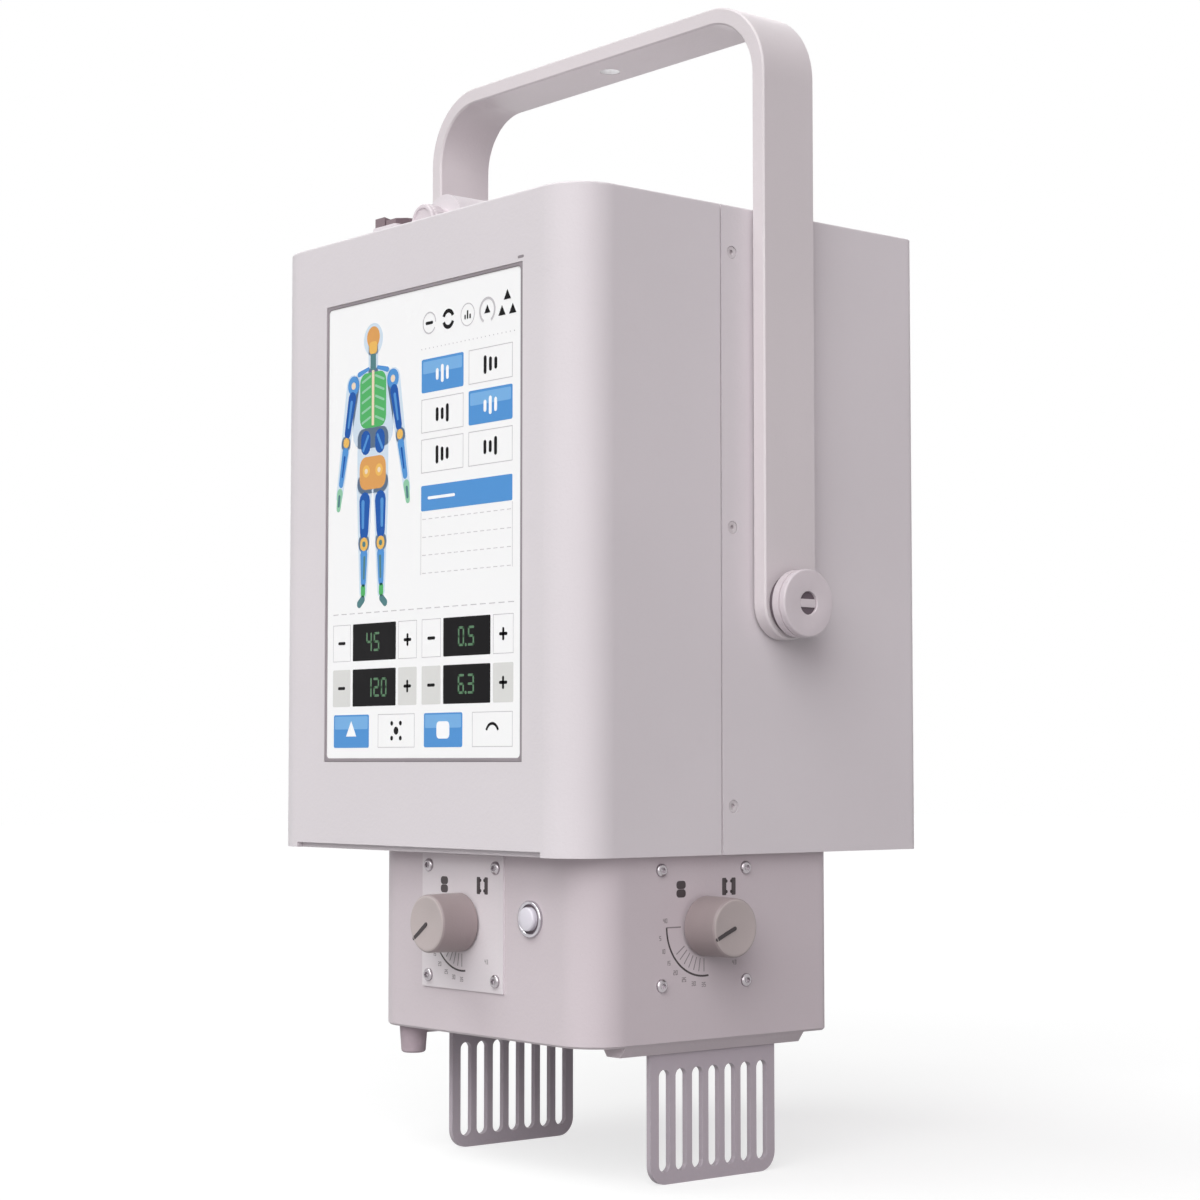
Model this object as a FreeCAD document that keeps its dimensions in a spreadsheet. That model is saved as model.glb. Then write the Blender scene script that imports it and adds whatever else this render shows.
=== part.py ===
import FreeCAD, Part
import Sketcher
import math
import os
import re

# Portable x-ray machine, in millimetres: +X right, -Y towards the screen, +Z up.
# The two slotted guard plates stand on z = 0. X = 0 is the middle of the housing,
# and Y = 0 is moved at the end to the middle of the whole machine's depth.

# Driving sizes: alias, value, what it is
SIZES = [
    ("housing_width", 242, "left side to right side"),
    ("housing_depth", 216, "front face to back face"),
    ("housing_height", 300, "underside to top"),
    ("wall", 3, "thickness of the painted covers"),
    ("front_corner", 22, "radius of the upright front corners"),
    ("rear_corner", 4, "radius of the upright back corners"),
    ("edge_round", 1, "softened rims of the covers"),
    ("front_cover_depth", 86.5, "front face to the seam"),
    ("seam_gap", 1, "open seam between the covers"),
    ("lip_length", 12, "front cover's lip past the seam"),
    ("lip_clearance", 0.3, "lip to rear cover"),
    ("relief_width", 194, "raised lower rim of the front face"),
    ("relief_height", 2.5, "how far that rim is raised"),
    ("base_thickness", 3, "base plate"),
    ("base_clearance", 0.2, "base plate to the covers"),
    ("screen_width", 154, "display glass"),
    ("screen_height", 222, "display glass"),
    ("screen_offset", 5, "screen middle right of the housing middle"),
    ("screen_rise", 44, "screen bottom above the housing bottom"),
    ("screen_rim", 1.8, "dark frame round the glass"),
    ("screen_depth", 6, "display, front to back"),
    ("screen_recess", 0.4, "glass behind the front face"),
    ("cover_screw_radius", 2.9, "cover screw head"),
    ("cover_screw_inset", 7.5, "screws behind the seam"),
    ("cover_screw_margin", 22, "outer screws from top and underside"),
    ("screw_clearance", 0.15, "cover screw head to its hole"),
    ("screw_sink", 0.5, "screw heads below the paint"),
    ("collimator_width", 166, "beam limiter box, X"),
    ("collimator_depth", 146, "beam limiter box, Y"),
    ("collimator_height", 84, "beam limiter box, Z"),
    ("collimator_x", 33, "box middle from the housing middle"),
    ("collimator_y", -22, "box middle from the housing middle"),
    ("collimator_corner", 20, "radius of its front corners"),
    ("collimator_wall", 3, "its wall"),
    ("window_size", 112, "clear square window in its floor"),
    ("window_thickness", 2, "clear window"),
    ("window_ledge", 3, "rim that carries the window"),
    ("beam_hole_radius", 42, "beam hole through the base plate"),
    ("leaf_thickness", 2, "lead leaf"),
    ("leaf_opening", 60, "gap between the leaves of a pair"),
    ("leaf_width", 20, "each leaf across the gap"),
    ("leaf_clearance", 3, "leaves to the box's front and back wall"),
    ("leaf_overhang", 4, "leaves past the window, left and right"),
    ("tank_width", 150, "x-ray tube tank, X"),
    ("tank_depth", 120, "x-ray tube tank, Y"),
    ("tank_height", 170, "x-ray tube tank, Z"),
    ("knob_radius", 13.6, "field knob"),
    ("knob_length", 20.6, "field knob"),
    ("knob_gap", 0.8, "knob to panel"),
    ("knob_drop", 32, "knob axis below the housing underside"),
    ("knob_bevel", 1, "rim of the knob"),
    ("knob_x", 23.6, "front knob from the housing middle"),
    ("knob_y", -28, "side knob from the housing middle"),
    ("shaft_radius", 3, "knob shaft"),
    ("shaft_clearance", 0.05, "shaft to its bore"),
    ("plate_size", 62.5, "square scale plate behind the front knob"),
    ("plate_thickness", 0.8, "scale plate"),
    ("plate_pitch", 51.5, "square of its four screws"),
    ("plate_screw_radius", 3, "panel screw head"),
    ("plate_screw_height", 1.3, "panel screw head"),
    ("button_radius", 5.4, "lamp button"),
    ("button_length", 3.8, "lamp button out of the panel"),
    ("button_bevel", 1, "rim of the lamp button"),
    ("button_gap", 1.2, "groove between the button and its ring"),
    ("button_ring_radius", 8.3, "ring round the lamp button"),
    ("button_ring_height", 1.8, "ring round the lamp button"),
    ("button_x", 74.4, "lamp button from the housing middle"),
    ("button_drop", 28.3, "lamp button below the housing underside"),
    ("rail_front", 21, "rail's front end behind the box front"),
    ("rail_back", 15, "rail's back end before the box back"),
    ("rail_width", 16, "accessory rail at the box"),
    ("rail_slope", 3.5, "its sloped flanks"),
    ("rail_height", 4.7, "accessory rail"),
    ("stand_x", 34.5, "middle between the rails from the housing middle"),
    ("stand_width", 160.6, "outer side of one rail to outer side of the other"),
    ("guard_width", 76.5, "slotted guard plate, Y"),
    ("guard_drop", 63, "floor to the box's underside"),
    ("guard_thickness", 2.8, "slotted guard plate"),
    ("guard_corner", 9, "its lower corners"),
    ("guard_inset", 4.8, "plate's outer face from the rail's outer side"),
    ("guard_y", -16.7, "plate middle from the housing middle"),
    ("guard_flange", 12, "turned-in flange that the rail clamps to the box"),
    ("slot_width", 6.6, "slot"),
    ("slot_length", 45.7, "slot, end to end"),
    ("slot_pitch", 10, "slot to slot"),
    ("slot_count", 7, "slots in a plate"),
    ("slot_bottom", 5.5, "slot end above the floor"),
    ("guard_screw_radius", 2.3, "screw head under the rail"),
    ("guard_screw_height", 1.6, "screw head under the rail"),
    ("guard_screw_pitch", 50, "two screws to a rail"),
    ("peg_radius", 6.7, "corner peg"),
    ("peg_height", 13.3, "corner peg"),
    ("peg_x", 19.3, "peg from the box's left side"),
    ("peg_y", 11, "peg from the box's front"),
    ("pivot_y", 14, "handle pivot from the housing middle"),
    ("pivot_rise", 115.2, "handle pivot above the housing underside"),
    ("handle_rise", 101, "handle's top above the housing"),
    ("strap_width", 33, "handle strap"),
    ("strap_thickness", 8, "handle strap"),
    ("strap_corner", 37, "outer radius of the handle's corners"),
    ("strap_gap", 1.4, "handle to housing side"),
    ("strap_edge", 0.8, "softened edges of the strap"),
    ("strap_bore_radius", 5.25, "hole in the middle of the grip"),
    ("stud_radius", 5, "pivot stud"),
    ("stud_clearance", 0.05, "stud in the strap"),
    ("stud_inside", 4, "stud behind the cover's wall"),
    ("stud_proud", 1, "stud's end above the floor of the cap's recess"),
    ("washer_radius", 14, "washer between housing and strap"),
    ("washer_play", 0.15, "free play each side of the strap"),
    ("collar_radius", 11, "step under the pivot cap"),
    ("collar_height", 3.2, "step under the pivot cap"),
    ("cap_radius", 15.8, "pivot cap"),
    ("cap_height", 8.5, "pivot cap with no step"),
    ("cap_bevel", 1.2, "rim of the pivot cap"),
    ("cap_recess_radius", 5.4, "recess round the stud's end"),
    ("cap_recess_depth", 2.6, "recess round the stud's end"),
    ("hood_width", 31.6, "arched socket hood on top"),
    ("hood_rise", 10.5, "middle of its arch above the housing"),
    ("hood_length", 30, "front to back"),
    ("hood_x", -41.6, "hood from the housing middle"),
    ("hood_front", 48, "hood's face behind the housing's front face"),
    ("socket_radius", 9.5, "round socket in the hood's face"),
    ("socket_neck", 8.3, "its neck next to the hood"),
    ("socket_length", 13.5, "how far it stands out"),
    ("neck_length", 5, "neck"),
    ("switch_width", 20.6, "power switch on top, X"),
    ("switch_depth", 17, "power switch on top, Y"),
    ("switch_height", 14.8, "its raised base"),
    ("switch_corner", 2, "upright corners of that base"),
    ("switch_x", -78.2, "power switch from the housing middle"),
    ("switch_front", 37, "its face behind the housing's front face"),
    ("rocker_height", 5, "rockers above the base"),
    ("rocker_margin", 1.3, "base left free round the rockers"),
    ("let_in_play", 0.1, "play round parts that are let into others"),
    ("bore_play", 0.5, "scale plate's bore round the knob shaft"),
    ("shaft_inside", 6, "knob shaft behind the box wall"),
    ("past", 1, "how far a cut starts before what it cuts"),
]

# Places worked out from the driving sizes: alias, formula
PLACES = [
    ("under", "guard_drop + collimator_height"),
    ("top", "under + housing_height"),
    ("half_width", "housing_width / 2"),
    ("half_depth", "housing_depth / 2"),
    ("seam_y", "front_cover_depth - half_depth"),
    ("box_left", "collimator_x - collimator_width / 2"),
    ("box_right", "collimator_x + collimator_width / 2"),
    ("box_front", "collimator_y - collimator_depth / 2"),
    ("box_back", "collimator_y + collimator_depth / 2"),
    ("knob_z", "under - knob_drop"),
    ("pivot_z", "under + pivot_rise"),
    ("stand_left", "stand_x - stand_width / 2"),
    ("stand_right", "stand_x + stand_width / 2"),
    ("strap_inside", "half_width + strap_gap"),
    ("strap_outside", "strap_inside + strap_thickness"),
    ("handle_top", "top + handle_rise"),
    ("knob_front", "box_front - knob_gap - knob_length"),
    ("middle_y", "(knob_front + half_depth) / 2"),
]

doc = FreeCAD.newDocument("xray_machine")
sheet = doc.addObject("Spreadsheet::Sheet", "sizes")
for row, (alias, value, note) in enumerate(SIZES, 1):
    sheet.set("A%d" % row, alias)
    sheet.set("B%d" % row, str(value))
    sheet.set("C%d" % row, note)
    sheet.setAlias("B%d" % row, alias)
for row, (alias, formula) in enumerate(PLACES, len(SIZES) + 2):
    sheet.set("A%d" % row, alias)
    sheet.set("B%d" % row, "=" + formula)
    sheet.setAlias("B%d" % row, alias)
doc.recompute()

ALIASES = {entry[0] for entry in SIZES + PLACES}
PARTS = []

# Sides of a screw head and its hole, few because they are many and small
SCREW_SIDES = 12

# Turns that point a piece made along +Z outwards
TO_FRONT = (FreeCAD.Vector(1, 0, 0), 90)
TO_RIGHT = (FreeCAD.Vector(0, 1, 0), 90)
TO_LEFT = (FreeCAD.Vector(0, 1, 0), -90)


def linked(text):
    """An expression in which each alias points at the sheet."""
    def point(match):
        word = match.group()
        return "sizes." + word if word in ALIASES else word
    return re.sub(r"[a-z][a-z0-9_]*", point, str(text))


def value(text):
    """The number that an expression of aliases stands for now."""
    return float(sheet.evalExpression(str(text)))


def bind(thing, prop, text):
    thing.setExpression(prop, linked(text))


def together(label, pieces):
    """One sub-part of several like pieces that are already in the machine's own frame."""
    group = doc.addObject("Part::Compound", label + "_group")
    group.Links = pieces
    group.Label = label
    PARTS.append(group)


def place(thing, label, x="0", y="0", z="0", turn=None):
    """Put a finished piece in the machine's own frame, as a sub-part if it has a label."""
    if turn:
        thing.Placement.Rotation = FreeCAD.Rotation(*turn)
    bind(thing, ".Placement.Base.x", x)
    bind(thing, ".Placement.Base.y", "%s - middle_y" % y)
    bind(thing, ".Placement.Base.z", z)
    if label:
        thing.Label = label
        PARTS.append(thing)
    return thing


def new_body(name):
    return doc.addObject("PartDesign::Body", name + "_body")


def sketch_on(body, name, role, x="0", y="0", z="0"):
    """A sketch on an origin plane of its own body, moved by three expressions."""
    sketch = body.newObject("Sketcher::SketchObject", name)
    plane = next(item for item in body.Origin.OriginFeatures if item.Role == role)
    sketch.AttachmentSupport = (plane, [""])
    sketch.MapMode = "FlatFace"
    for axis, text in (("x", x), ("y", y), ("z", z)):
        bind(sketch, ".AttachmentOffset.Base." + axis, text)
    return sketch


def fix_point(sketch, geometry, corner, x, y):
    """Hold one point of a sketch at two expressions from the sketch's origin."""
    for kind, text in (("DistanceX", x), ("DistanceY", y)):
        constraint = Sketcher.Constraint(kind, -1, 1, geometry, corner, value(text))
        index = sketch.addConstraint(constraint)
        bind(sketch, "Constraints[%d]" % index, text)


def outline(sketch, points):
    """A closed outline of straight lines through points given as expressions."""
    spots = [FreeCAD.Vector(value(x), value(y), 0) for x, y in points]
    first = sketch.GeometryCount
    count = len(spots)
    for index in range(count):
        line = Part.LineSegment(spots[index], spots[(index + 1) % count])
        sketch.addGeometry(line, False)
    for index in range(count):
        after = first + (index + 1) % count
        sketch.addConstraint(Sketcher.Constraint("Coincident", first + index, 2, after, 1))
    for index, (x, y) in enumerate(points):
        fix_point(sketch, first + index, 1, x, y)


def rectangle(sketch, left, low, right, high):
    outline(sketch, [(left, low), (right, low), (right, high), (left, high)])


def round_front(sketch, left, low, right, high, radius):
    """A rectangle whose two corners on the low side, the front, are arcs."""
    size = value(radius)
    x0, y0, x1, y1 = value(left), value(low), value(right), value(high)
    normal = FreeCAD.Vector(0, 0, 1)
    quarter = math.pi / 2

    def spot(x, y):
        return FreeCAD.Vector(x, y, 0)

    def corner(x, y, start):
        return Part.ArcOfCircle(Part.Circle(spot(x, y), normal, size), start, start + quarter)

    front = sketch.addGeometry(Part.LineSegment(spot(x0 + size, y0), spot(x1 - size, y0)), False)
    right_arc = sketch.addGeometry(corner(x1 - size, y0 + size, -quarter), False)
    right_line = sketch.addGeometry(Part.LineSegment(spot(x1, y0 + size), spot(x1, y1)), False)
    back = sketch.addGeometry(Part.LineSegment(spot(x1, y1), spot(x0, y1)), False)
    left_line = sketch.addGeometry(Part.LineSegment(spot(x0, y1), spot(x0, y0 + size)), False)
    left_arc = sketch.addGeometry(corner(x0 + size, y0 + size, math.pi), False)
    joins = [
        (front, 2, right_arc, 1), (right_arc, 2, right_line, 1),
        (left_line, 2, left_arc, 1), (left_arc, 2, front, 1)]
    for one, one_end, other, other_end in joins:
        sketch.addConstraint(Sketcher.Constraint("Tangent", one, one_end, other, other_end))
    sketch.addConstraint(Sketcher.Constraint("Coincident", right_line, 2, back, 1))
    sketch.addConstraint(Sketcher.Constraint("Coincident", back, 2, left_line, 1))
    fix_point(sketch, back, 1, right, high)
    fix_point(sketch, back, 2, left, high)
    fix_point(sketch, right_arc, 3, "%s - (%s)" % (right, radius), "%s + (%s)" % (low, radius))
    fix_point(sketch, left_arc, 3, "%s + (%s)" % (left, radius), "%s + (%s)" % (low, radius))
    for arc in (right_arc, left_arc):
        index = sketch.addConstraint(Sketcher.Constraint("Radius", arc, size))
        bind(sketch, "Constraints[%d]" % index, radius)


def many_sided(sketch, x, y, radius, sides=SCREW_SIDES):
    """A regular many-sided outline round a point, light where a small hole repeats."""
    points = []
    for step in range(sides):
        angle = 360.0 * step / sides
        points.append((
            "%s + (%s) * cos(%g deg)" % (x, radius, angle),
            "%s + (%s) * sin(%g deg)" % (y, radius, angle)))
    outline(sketch, points)


def ring(sketch, x, y, radius):
    """A circle whose centre and radius are expressions."""
    centre = FreeCAD.Vector(value(x), value(y), 0)
    circle = Part.Circle(centre, FreeCAD.Vector(0, 0, 1), value(radius))
    index = sketch.addGeometry(circle, False)
    fix_point(sketch, index, 3, x, y)
    size = sketch.addConstraint(Sketcher.Constraint("Radius", index, value(radius)))
    bind(sketch, "Constraints[%d]" % size, radius)


def upright_slot(sketch, x, low, high, radius):
    """An upright slot with round ends, from the centre of one end to the other."""
    across = value(x)
    bottom = FreeCAD.Vector(across, value(low), 0)
    top = FreeCAD.Vector(across, value(high), 0)
    size = value(radius)
    normal = FreeCAD.Vector(0, 0, 1)
    side = FreeCAD.Vector(size, 0, 0)
    upper = Part.ArcOfCircle(Part.Circle(top, normal, size), 0, math.pi)
    lower = Part.ArcOfCircle(Part.Circle(bottom, normal, size), math.pi, 2 * math.pi)
    left = Part.LineSegment(top - side, bottom - side)
    right = Part.LineSegment(bottom + side, top + side)
    a = sketch.addGeometry(upper, False)
    b = sketch.addGeometry(left, False)
    c = sketch.addGeometry(lower, False)
    d = sketch.addGeometry(right, False)
    for one, one_end, other, other_end in ((a, 2, b, 1), (b, 2, c, 1), (c, 2, d, 1), (d, 2, a, 1)):
        sketch.addConstraint(Sketcher.Constraint("Tangent", one, one_end, other, other_end))
    fix_point(sketch, a, 3, x, high)
    fix_point(sketch, c, 3, x, low)
    index = sketch.addConstraint(Sketcher.Constraint("Radius", a, size))
    bind(sketch, "Constraints[%d]" % index, radius)
    sketch.addConstraint(Sketcher.Constraint("Equal", a, c))


def pad(body, sketch, length, name="Pad"):
    feature = body.newObject("PartDesign::Pad", name)
    feature.Profile = sketch
    bind(feature, "Length", length)
    doc.recompute()
    return feature


def pocket(body, sketch, length, name="Pocket"):
    """Cut against the sketch's normal, and make sure that something was cut."""
    before = body.Shape.Volume
    feature = body.newObject("PartDesign::Pocket", name)
    feature.Profile = sketch
    bind(feature, "Length", length)
    doc.recompute()
    if not body.Shape.Volume < before - 0.01:
        raise RuntimeError("nothing cut by " + body.Name + "." + name)
    return feature


def edges_where(feature, test):
    edges = feature.Shape.Edges
    return ["Edge%d" % (index + 1) for index, edge in enumerate(edges) if test(edge)]


def fillet(body, feature, test, radius, name="Fillet"):
    rounding = body.newObject("PartDesign::Fillet", name)
    rounding.Base = (feature, edges_where(feature, test))
    bind(rounding, "Radius", radius)
    doc.recompute()
    return rounding


def chamfer(body, feature, test, size, name="Chamfer"):
    bevel = body.newObject("PartDesign::Chamfer", name)
    bevel.Base = (feature, edges_where(feature, test))
    bind(bevel, "Size", size)
    doc.recompute()
    return bevel


def along(edge, axis):
    """True for a straight edge that runs along one axis, 0 to 2."""
    if len(edge.Vertexes) != 2 or not isinstance(edge.Curve, (Part.Line, Part.LineSegment)):
        return False
    direction = edge.Vertexes[1].Point - edge.Vertexes[0].Point
    return abs(direction[axis]) > 0.999 * direction.Length


def near(number, text, slack=0.02):
    return abs(number - value(text)) < slack


def front_cover():
    """Front half: round upright corners, screen window, lip that the rear half covers."""
    body = new_body("front_cover")
    plan = sketch_on(body, "Plan", "XY_Plane")
    round_front(plan, "-half_width", "-half_depth", "half_width", "seam_y", "front_corner")
    block = pad(body, plan, "housing_height", "Block")
    fillet(
        body, block,
        lambda edge: near(edge.CenterOfMass.z, "housing_height")
        and edge.CenterOfMass.y < value("seam_y") - 0.5,
        "edge_round", "TopRim")
    lip_x = "(half_width - wall - lip_clearance)"
    lip_plan = sketch_on(body, "LipPlan", "XY_Plane", z="base_thickness + base_clearance")
    rectangle(lip_plan, "-" + lip_x, "seam_y - wall * 2", lip_x, "seam_y + lip_length")
    pad(body, lip_plan,
        "housing_height - wall - lip_clearance - base_thickness - base_clearance", "Lip")
    hollow = sketch_on(body, "Hollow", "XY_Plane", z="housing_height - wall")
    round_front(
        hollow, "-(half_width - wall)", "-(half_depth - wall)",
        "half_width - wall", "seam_y - wall", "front_corner - wall")
    pocket(body, hollow, "housing_height", "HollowCut")
    throat = sketch_on(body, "Throat", "XY_Plane", z="housing_height - 2 * wall - lip_clearance")
    rectangle(
        throat, "-(%s - wall)" % lip_x, "seam_y - wall - past",
        "%s - wall" % lip_x, "seam_y + lip_length + past")
    pocket(body, throat, "housing_height", "ThroatCut")
    seat = sketch_on(body, "BaseSeat", "XY_Plane", z="base_thickness + base_clearance")
    rectangle(seat, "-(half_width - wall)", "seam_y - wall - past", "half_width - wall", "seam_y + past")
    pocket(body, seat, "base_thickness + past", "BaseSeatCut")
    window = sketch_on(body, "Window", "XZ_Plane", z="half_depth")
    rectangle(
        window,
        "screen_offset - screen_width / 2 - screen_rim", "screen_rise - screen_rim",
        "screen_offset + screen_width / 2 + screen_rim", "screen_rise + screen_height + screen_rim")
    pocket(body, window, "wall + past", "WindowCut")
    relief = sketch_on(body, "Relief", "XZ_Plane", z="half_depth")
    rectangle(relief, "-relief_width / 2", "-past", "relief_width / 2", "relief_height")
    pocket(body, relief, "wall + past", "ReliefCut")
    return place(body, "front_cover", z="under")


def rear_cover():
    """Rear half: a plain box open to the front, with sunk holes for the cover screws."""
    body = new_body("rear_cover")
    plan = sketch_on(body, "Plan", "XY_Plane")
    rectangle(plan, "-half_width", "seam_y + seam_gap", "half_width", "half_depth")
    block = pad(body, plan, "housing_height", "Block")
    corners = fillet(
        body, block,
        lambda edge: along(edge, 2) and near(edge.CenterOfMass.y, "half_depth"),
        "rear_corner", "Corners")
    fillet(
        body, corners,
        lambda edge: near(edge.CenterOfMass.z, "housing_height")
        and edge.CenterOfMass.y > value("seam_y + seam_gap") + 0.5,
        "edge_round", "TopRim")
    hollow = sketch_on(body, "Hollow", "XY_Plane", z="housing_height - wall")
    rectangle(
        hollow, "-(half_width - wall)", "seam_y - past", "half_width - wall", "half_depth - wall")
    pocket(body, hollow, "housing_height", "HollowCut")
    holes = sketch_on(body, "ScrewHoles", "YZ_Plane", z="half_width + past")
    for height in cover_screw_heights():
        many_sided(holes, "seam_y + cover_screw_inset", height, "cover_screw_radius + screw_clearance")
    pocket(body, holes, "housing_width + 2 * past", "ScrewCut")
    stud_holes = sketch_on(body, "StudHoles", "YZ_Plane", z="half_width + past")
    ring(stud_holes, "pivot_y", "pivot_rise", "stud_radius + stud_clearance")
    pocket(body, stud_holes, "housing_width + 2 * past", "StudCut")
    return place(body, "rear_cover", z="under")


def cover_screw_heights():
    """Low, middle and high screw of one side, above the housing underside."""
    return ["cover_screw_margin", "housing_height / 2", "housing_height - cover_screw_margin"]


def screw_disc(name, radius, height):
    """A plain screw head with twelve sides, which keeps the many screws light."""
    disc = doc.addObject("Part::Prism", name)
    disc.Polygon = SCREW_SIDES
    bind(disc, "Circumradius", radius)
    bind(disc, "Height", height)
    return disc


def cover_screws():
    """Three flush screw heads on each side."""
    heads = []
    for side, turn in ((-1, TO_LEFT), (1, TO_RIGHT)):
        spots = [("%d * (half_width - wall)" % side, "seam_y + cover_screw_inset", "under + " + height)
                 for height in cover_screw_heights()]
        heads += screw_heads("cover_screw", spots, "cover_screw_radius", "wall - screw_sink", turn)
    together("cover_screws", heads)


def base_plate():
    """Plate that closes the housing from below and carries tank and beam limiter."""
    body = new_body("base_plate")
    plan = sketch_on(body, "Plan", "XY_Plane")
    reach_x = "(half_width - wall - base_clearance)"
    reach_y = "(half_depth - wall - base_clearance)"
    round_front(
        plan, "-" + reach_x, "-" + reach_y, reach_x, reach_y, "front_corner - wall - base_clearance")
    pad(body, plan, "base_thickness", "Plate")
    hole = sketch_on(body, "BeamHole", "XY_Plane", z="base_thickness + past")
    ring(hole, "collimator_x", "collimator_y", "beam_hole_radius")
    pocket(body, hole, "base_thickness + 2 * past", "BeamCut")
    return place(body, "base_plate", z="under")


def display():
    """Dark rim and glass, let into the window of the front cover."""
    rim = new_body("display_frame")
    outer = sketch_on(rim, "Outer", "XZ_Plane", x="screen_offset", y="screen_rise + screen_height / 2")
    rectangle(
        outer,
        "-(screen_width / 2 + screen_rim - let_in_play)", "-(screen_height / 2 + screen_rim - let_in_play)",
        "screen_width / 2 + screen_rim - let_in_play", "screen_height / 2 + screen_rim - let_in_play")
    pad(rim, outer, "screen_depth", "Frame")
    inner = sketch_on(
        rim, "Inner", "XZ_Plane",
        x="screen_offset", y="screen_rise + screen_height / 2", z="screen_depth + past")
    rectangle(inner, "-screen_width / 2", "-screen_height / 2", "screen_width / 2", "screen_height / 2")
    pocket(rim, inner, "screen_depth + 2 * past", "FrameCut")
    place(rim, "display_frame", y="(-half_depth + screen_depth + let_in_play)", z="under")
    glass = new_body("display_glass")
    pane = sketch_on(glass, "Pane", "XZ_Plane", x="screen_offset", y="screen_rise + screen_height / 2")
    rectangle(
        pane,
        "-(screen_width / 2 - let_in_play / 2)", "-(screen_height / 2 - let_in_play / 2)",
        "screen_width / 2 - let_in_play / 2", "screen_height / 2 - let_in_play / 2")
    pad(glass, pane, "screen_depth - screen_recess", "Pane")
    place(glass, "display_glass", y="(-half_depth + screen_depth + let_in_play)", z="under")


def tank():
    """The oil tank with the x-ray tube: the heavy mass, one plain block over the beam hole."""
    block = doc.addObject("Part::Box", "xray_tank_block")
    bind(block, "Length", "tank_width")
    bind(block, "Width", "tank_depth")
    bind(block, "Height", "tank_height")
    place(block, "xray_tank",
          "collimator_x - tank_width / 2", "collimator_y - tank_depth / 2", "under + base_thickness")


def collimator():
    """Beam limiter box: hollow, round front corners, floor with a ledge for the window."""
    body = new_body("collimator_box")
    plan = sketch_on(body, "Plan", "XY_Plane")
    round_front(plan, "box_left", "box_front", "box_right", "box_back", "collimator_corner")
    block = pad(body, plan, "collimator_height", "Block")
    back = fillet(
        body, block,
        lambda edge: along(edge, 2) and near(edge.CenterOfMass.y, "box_back"),
        "rear_corner", "BackCorners")
    chamfer(
        body, back,
        lambda edge: near(edge.CenterOfMass.z, "0"),
        "edge_round", "LowRim")
    hollow = sketch_on(body, "Hollow", "XY_Plane", z="collimator_height + past")
    round_front(
        hollow, "box_left + collimator_wall", "box_front + collimator_wall",
        "box_right - collimator_wall", "box_back - collimator_wall",
        "collimator_corner - collimator_wall")
    pocket(body, hollow, "collimator_height + past - collimator_wall", "HollowCut")
    opening = sketch_on(body, "Opening", "XY_Plane", z="collimator_wall + past")
    half = "(window_size / 2 - window_ledge)"
    rectangle(
        opening,
        "collimator_x - " + half, "collimator_y - " + half,
        "collimator_x + " + half, "collimator_y + " + half)
    pocket(body, opening, "collimator_wall + 2 * past", "OpeningCut")
    seat = sketch_on(body, "Seat", "XY_Plane", z="window_thickness")
    rectangle(
        seat,
        "collimator_x - window_size / 2", "collimator_y - window_size / 2",
        "collimator_x + window_size / 2", "collimator_y + window_size / 2")
    pocket(body, seat, "window_thickness + past", "SeatCut")
    front_bore = sketch_on(body, "FrontBore", "XZ_Plane", z="-box_front + past")
    ring(front_bore, "knob_x", "knob_z - guard_drop", "shaft_radius + shaft_clearance")
    pocket(body, front_bore, "collimator_wall + 2 * past", "FrontBoreCut")
    side_bore = sketch_on(body, "SideBore", "YZ_Plane", z="box_right + past")
    ring(side_bore, "knob_y", "knob_z - guard_drop", "shaft_radius + shaft_clearance")
    pocket(body, side_bore, "collimator_wall + 2 * past", "SideBoreCut")
    place(body, "collimator_box", z="guard_drop")
    pane = doc.addObject("Part::Box", "beam_window_pane")
    bind(pane, "Length", "window_size - 2 * let_in_play")
    bind(pane, "Width", "window_size - 2 * let_in_play")
    bind(pane, "Height", "window_thickness")
    place(pane, "beam_window",
          "collimator_x - window_size / 2 + let_in_play", "collimator_y - window_size / 2 + let_in_play", "guard_drop")


def leaves():
    """Two crossed pairs of lead leaves that limit the beam, on the box's floor."""
    plates = []
    # Pair: level above the floor, true where the pair closes along X
    for level, closes_x in ((0, True), (1, False)):
        for side in (-1, 1):
            leaf = doc.addObject("Part::Box", "Leaf")
            shift = "(%d * (leaf_opening / 2 + leaf_width / 2))" % side
            if closes_x:
                bind(leaf, "Length", "leaf_width")
                bind(leaf, "Width", "collimator_depth - 2 * collimator_wall - 2 * leaf_clearance")
                bind(leaf, ".Placement.Base.x", "collimator_x + %s - leaf_width / 2" % shift)
                bind(leaf, ".Placement.Base.y", "box_front + collimator_wall + leaf_clearance")
            else:
                bind(leaf, "Length", "window_size + 2 * leaf_overhang")
                bind(leaf, "Width", "leaf_width")
                bind(leaf, ".Placement.Base.x", "collimator_x - window_size / 2 - leaf_overhang")
                bind(leaf, ".Placement.Base.y", "collimator_y + %s - leaf_width / 2" % shift)
            bind(leaf, "Height", "leaf_thickness")
            bind(leaf, ".Placement.Base.z", "collimator_wall + %d * leaf_thickness" % level)
            plates.append(leaf)
    frame = doc.addObject("Part::MultiFuse", "leaf_frame")
    frame.Shapes = plates
    place(frame, "beam_leaves", z="guard_drop")


def turned(name, label, outline_points, x, y, z, turn):
    """A turned piece: half section in the XZ plane, swept round Z, then laid along its axis."""
    body = new_body(name)
    half = sketch_on(body, "HalfSection", "XZ_Plane")
    outline(half, outline_points)
    spin = body.newObject("PartDesign::Revolution", "Turning")
    spin.Profile = half
    spin.ReferenceAxis = (half, ["V_Axis"])
    spin.Angle = 360
    doc.recompute()
    return place(body, label, x, y, z, turn)


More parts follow.
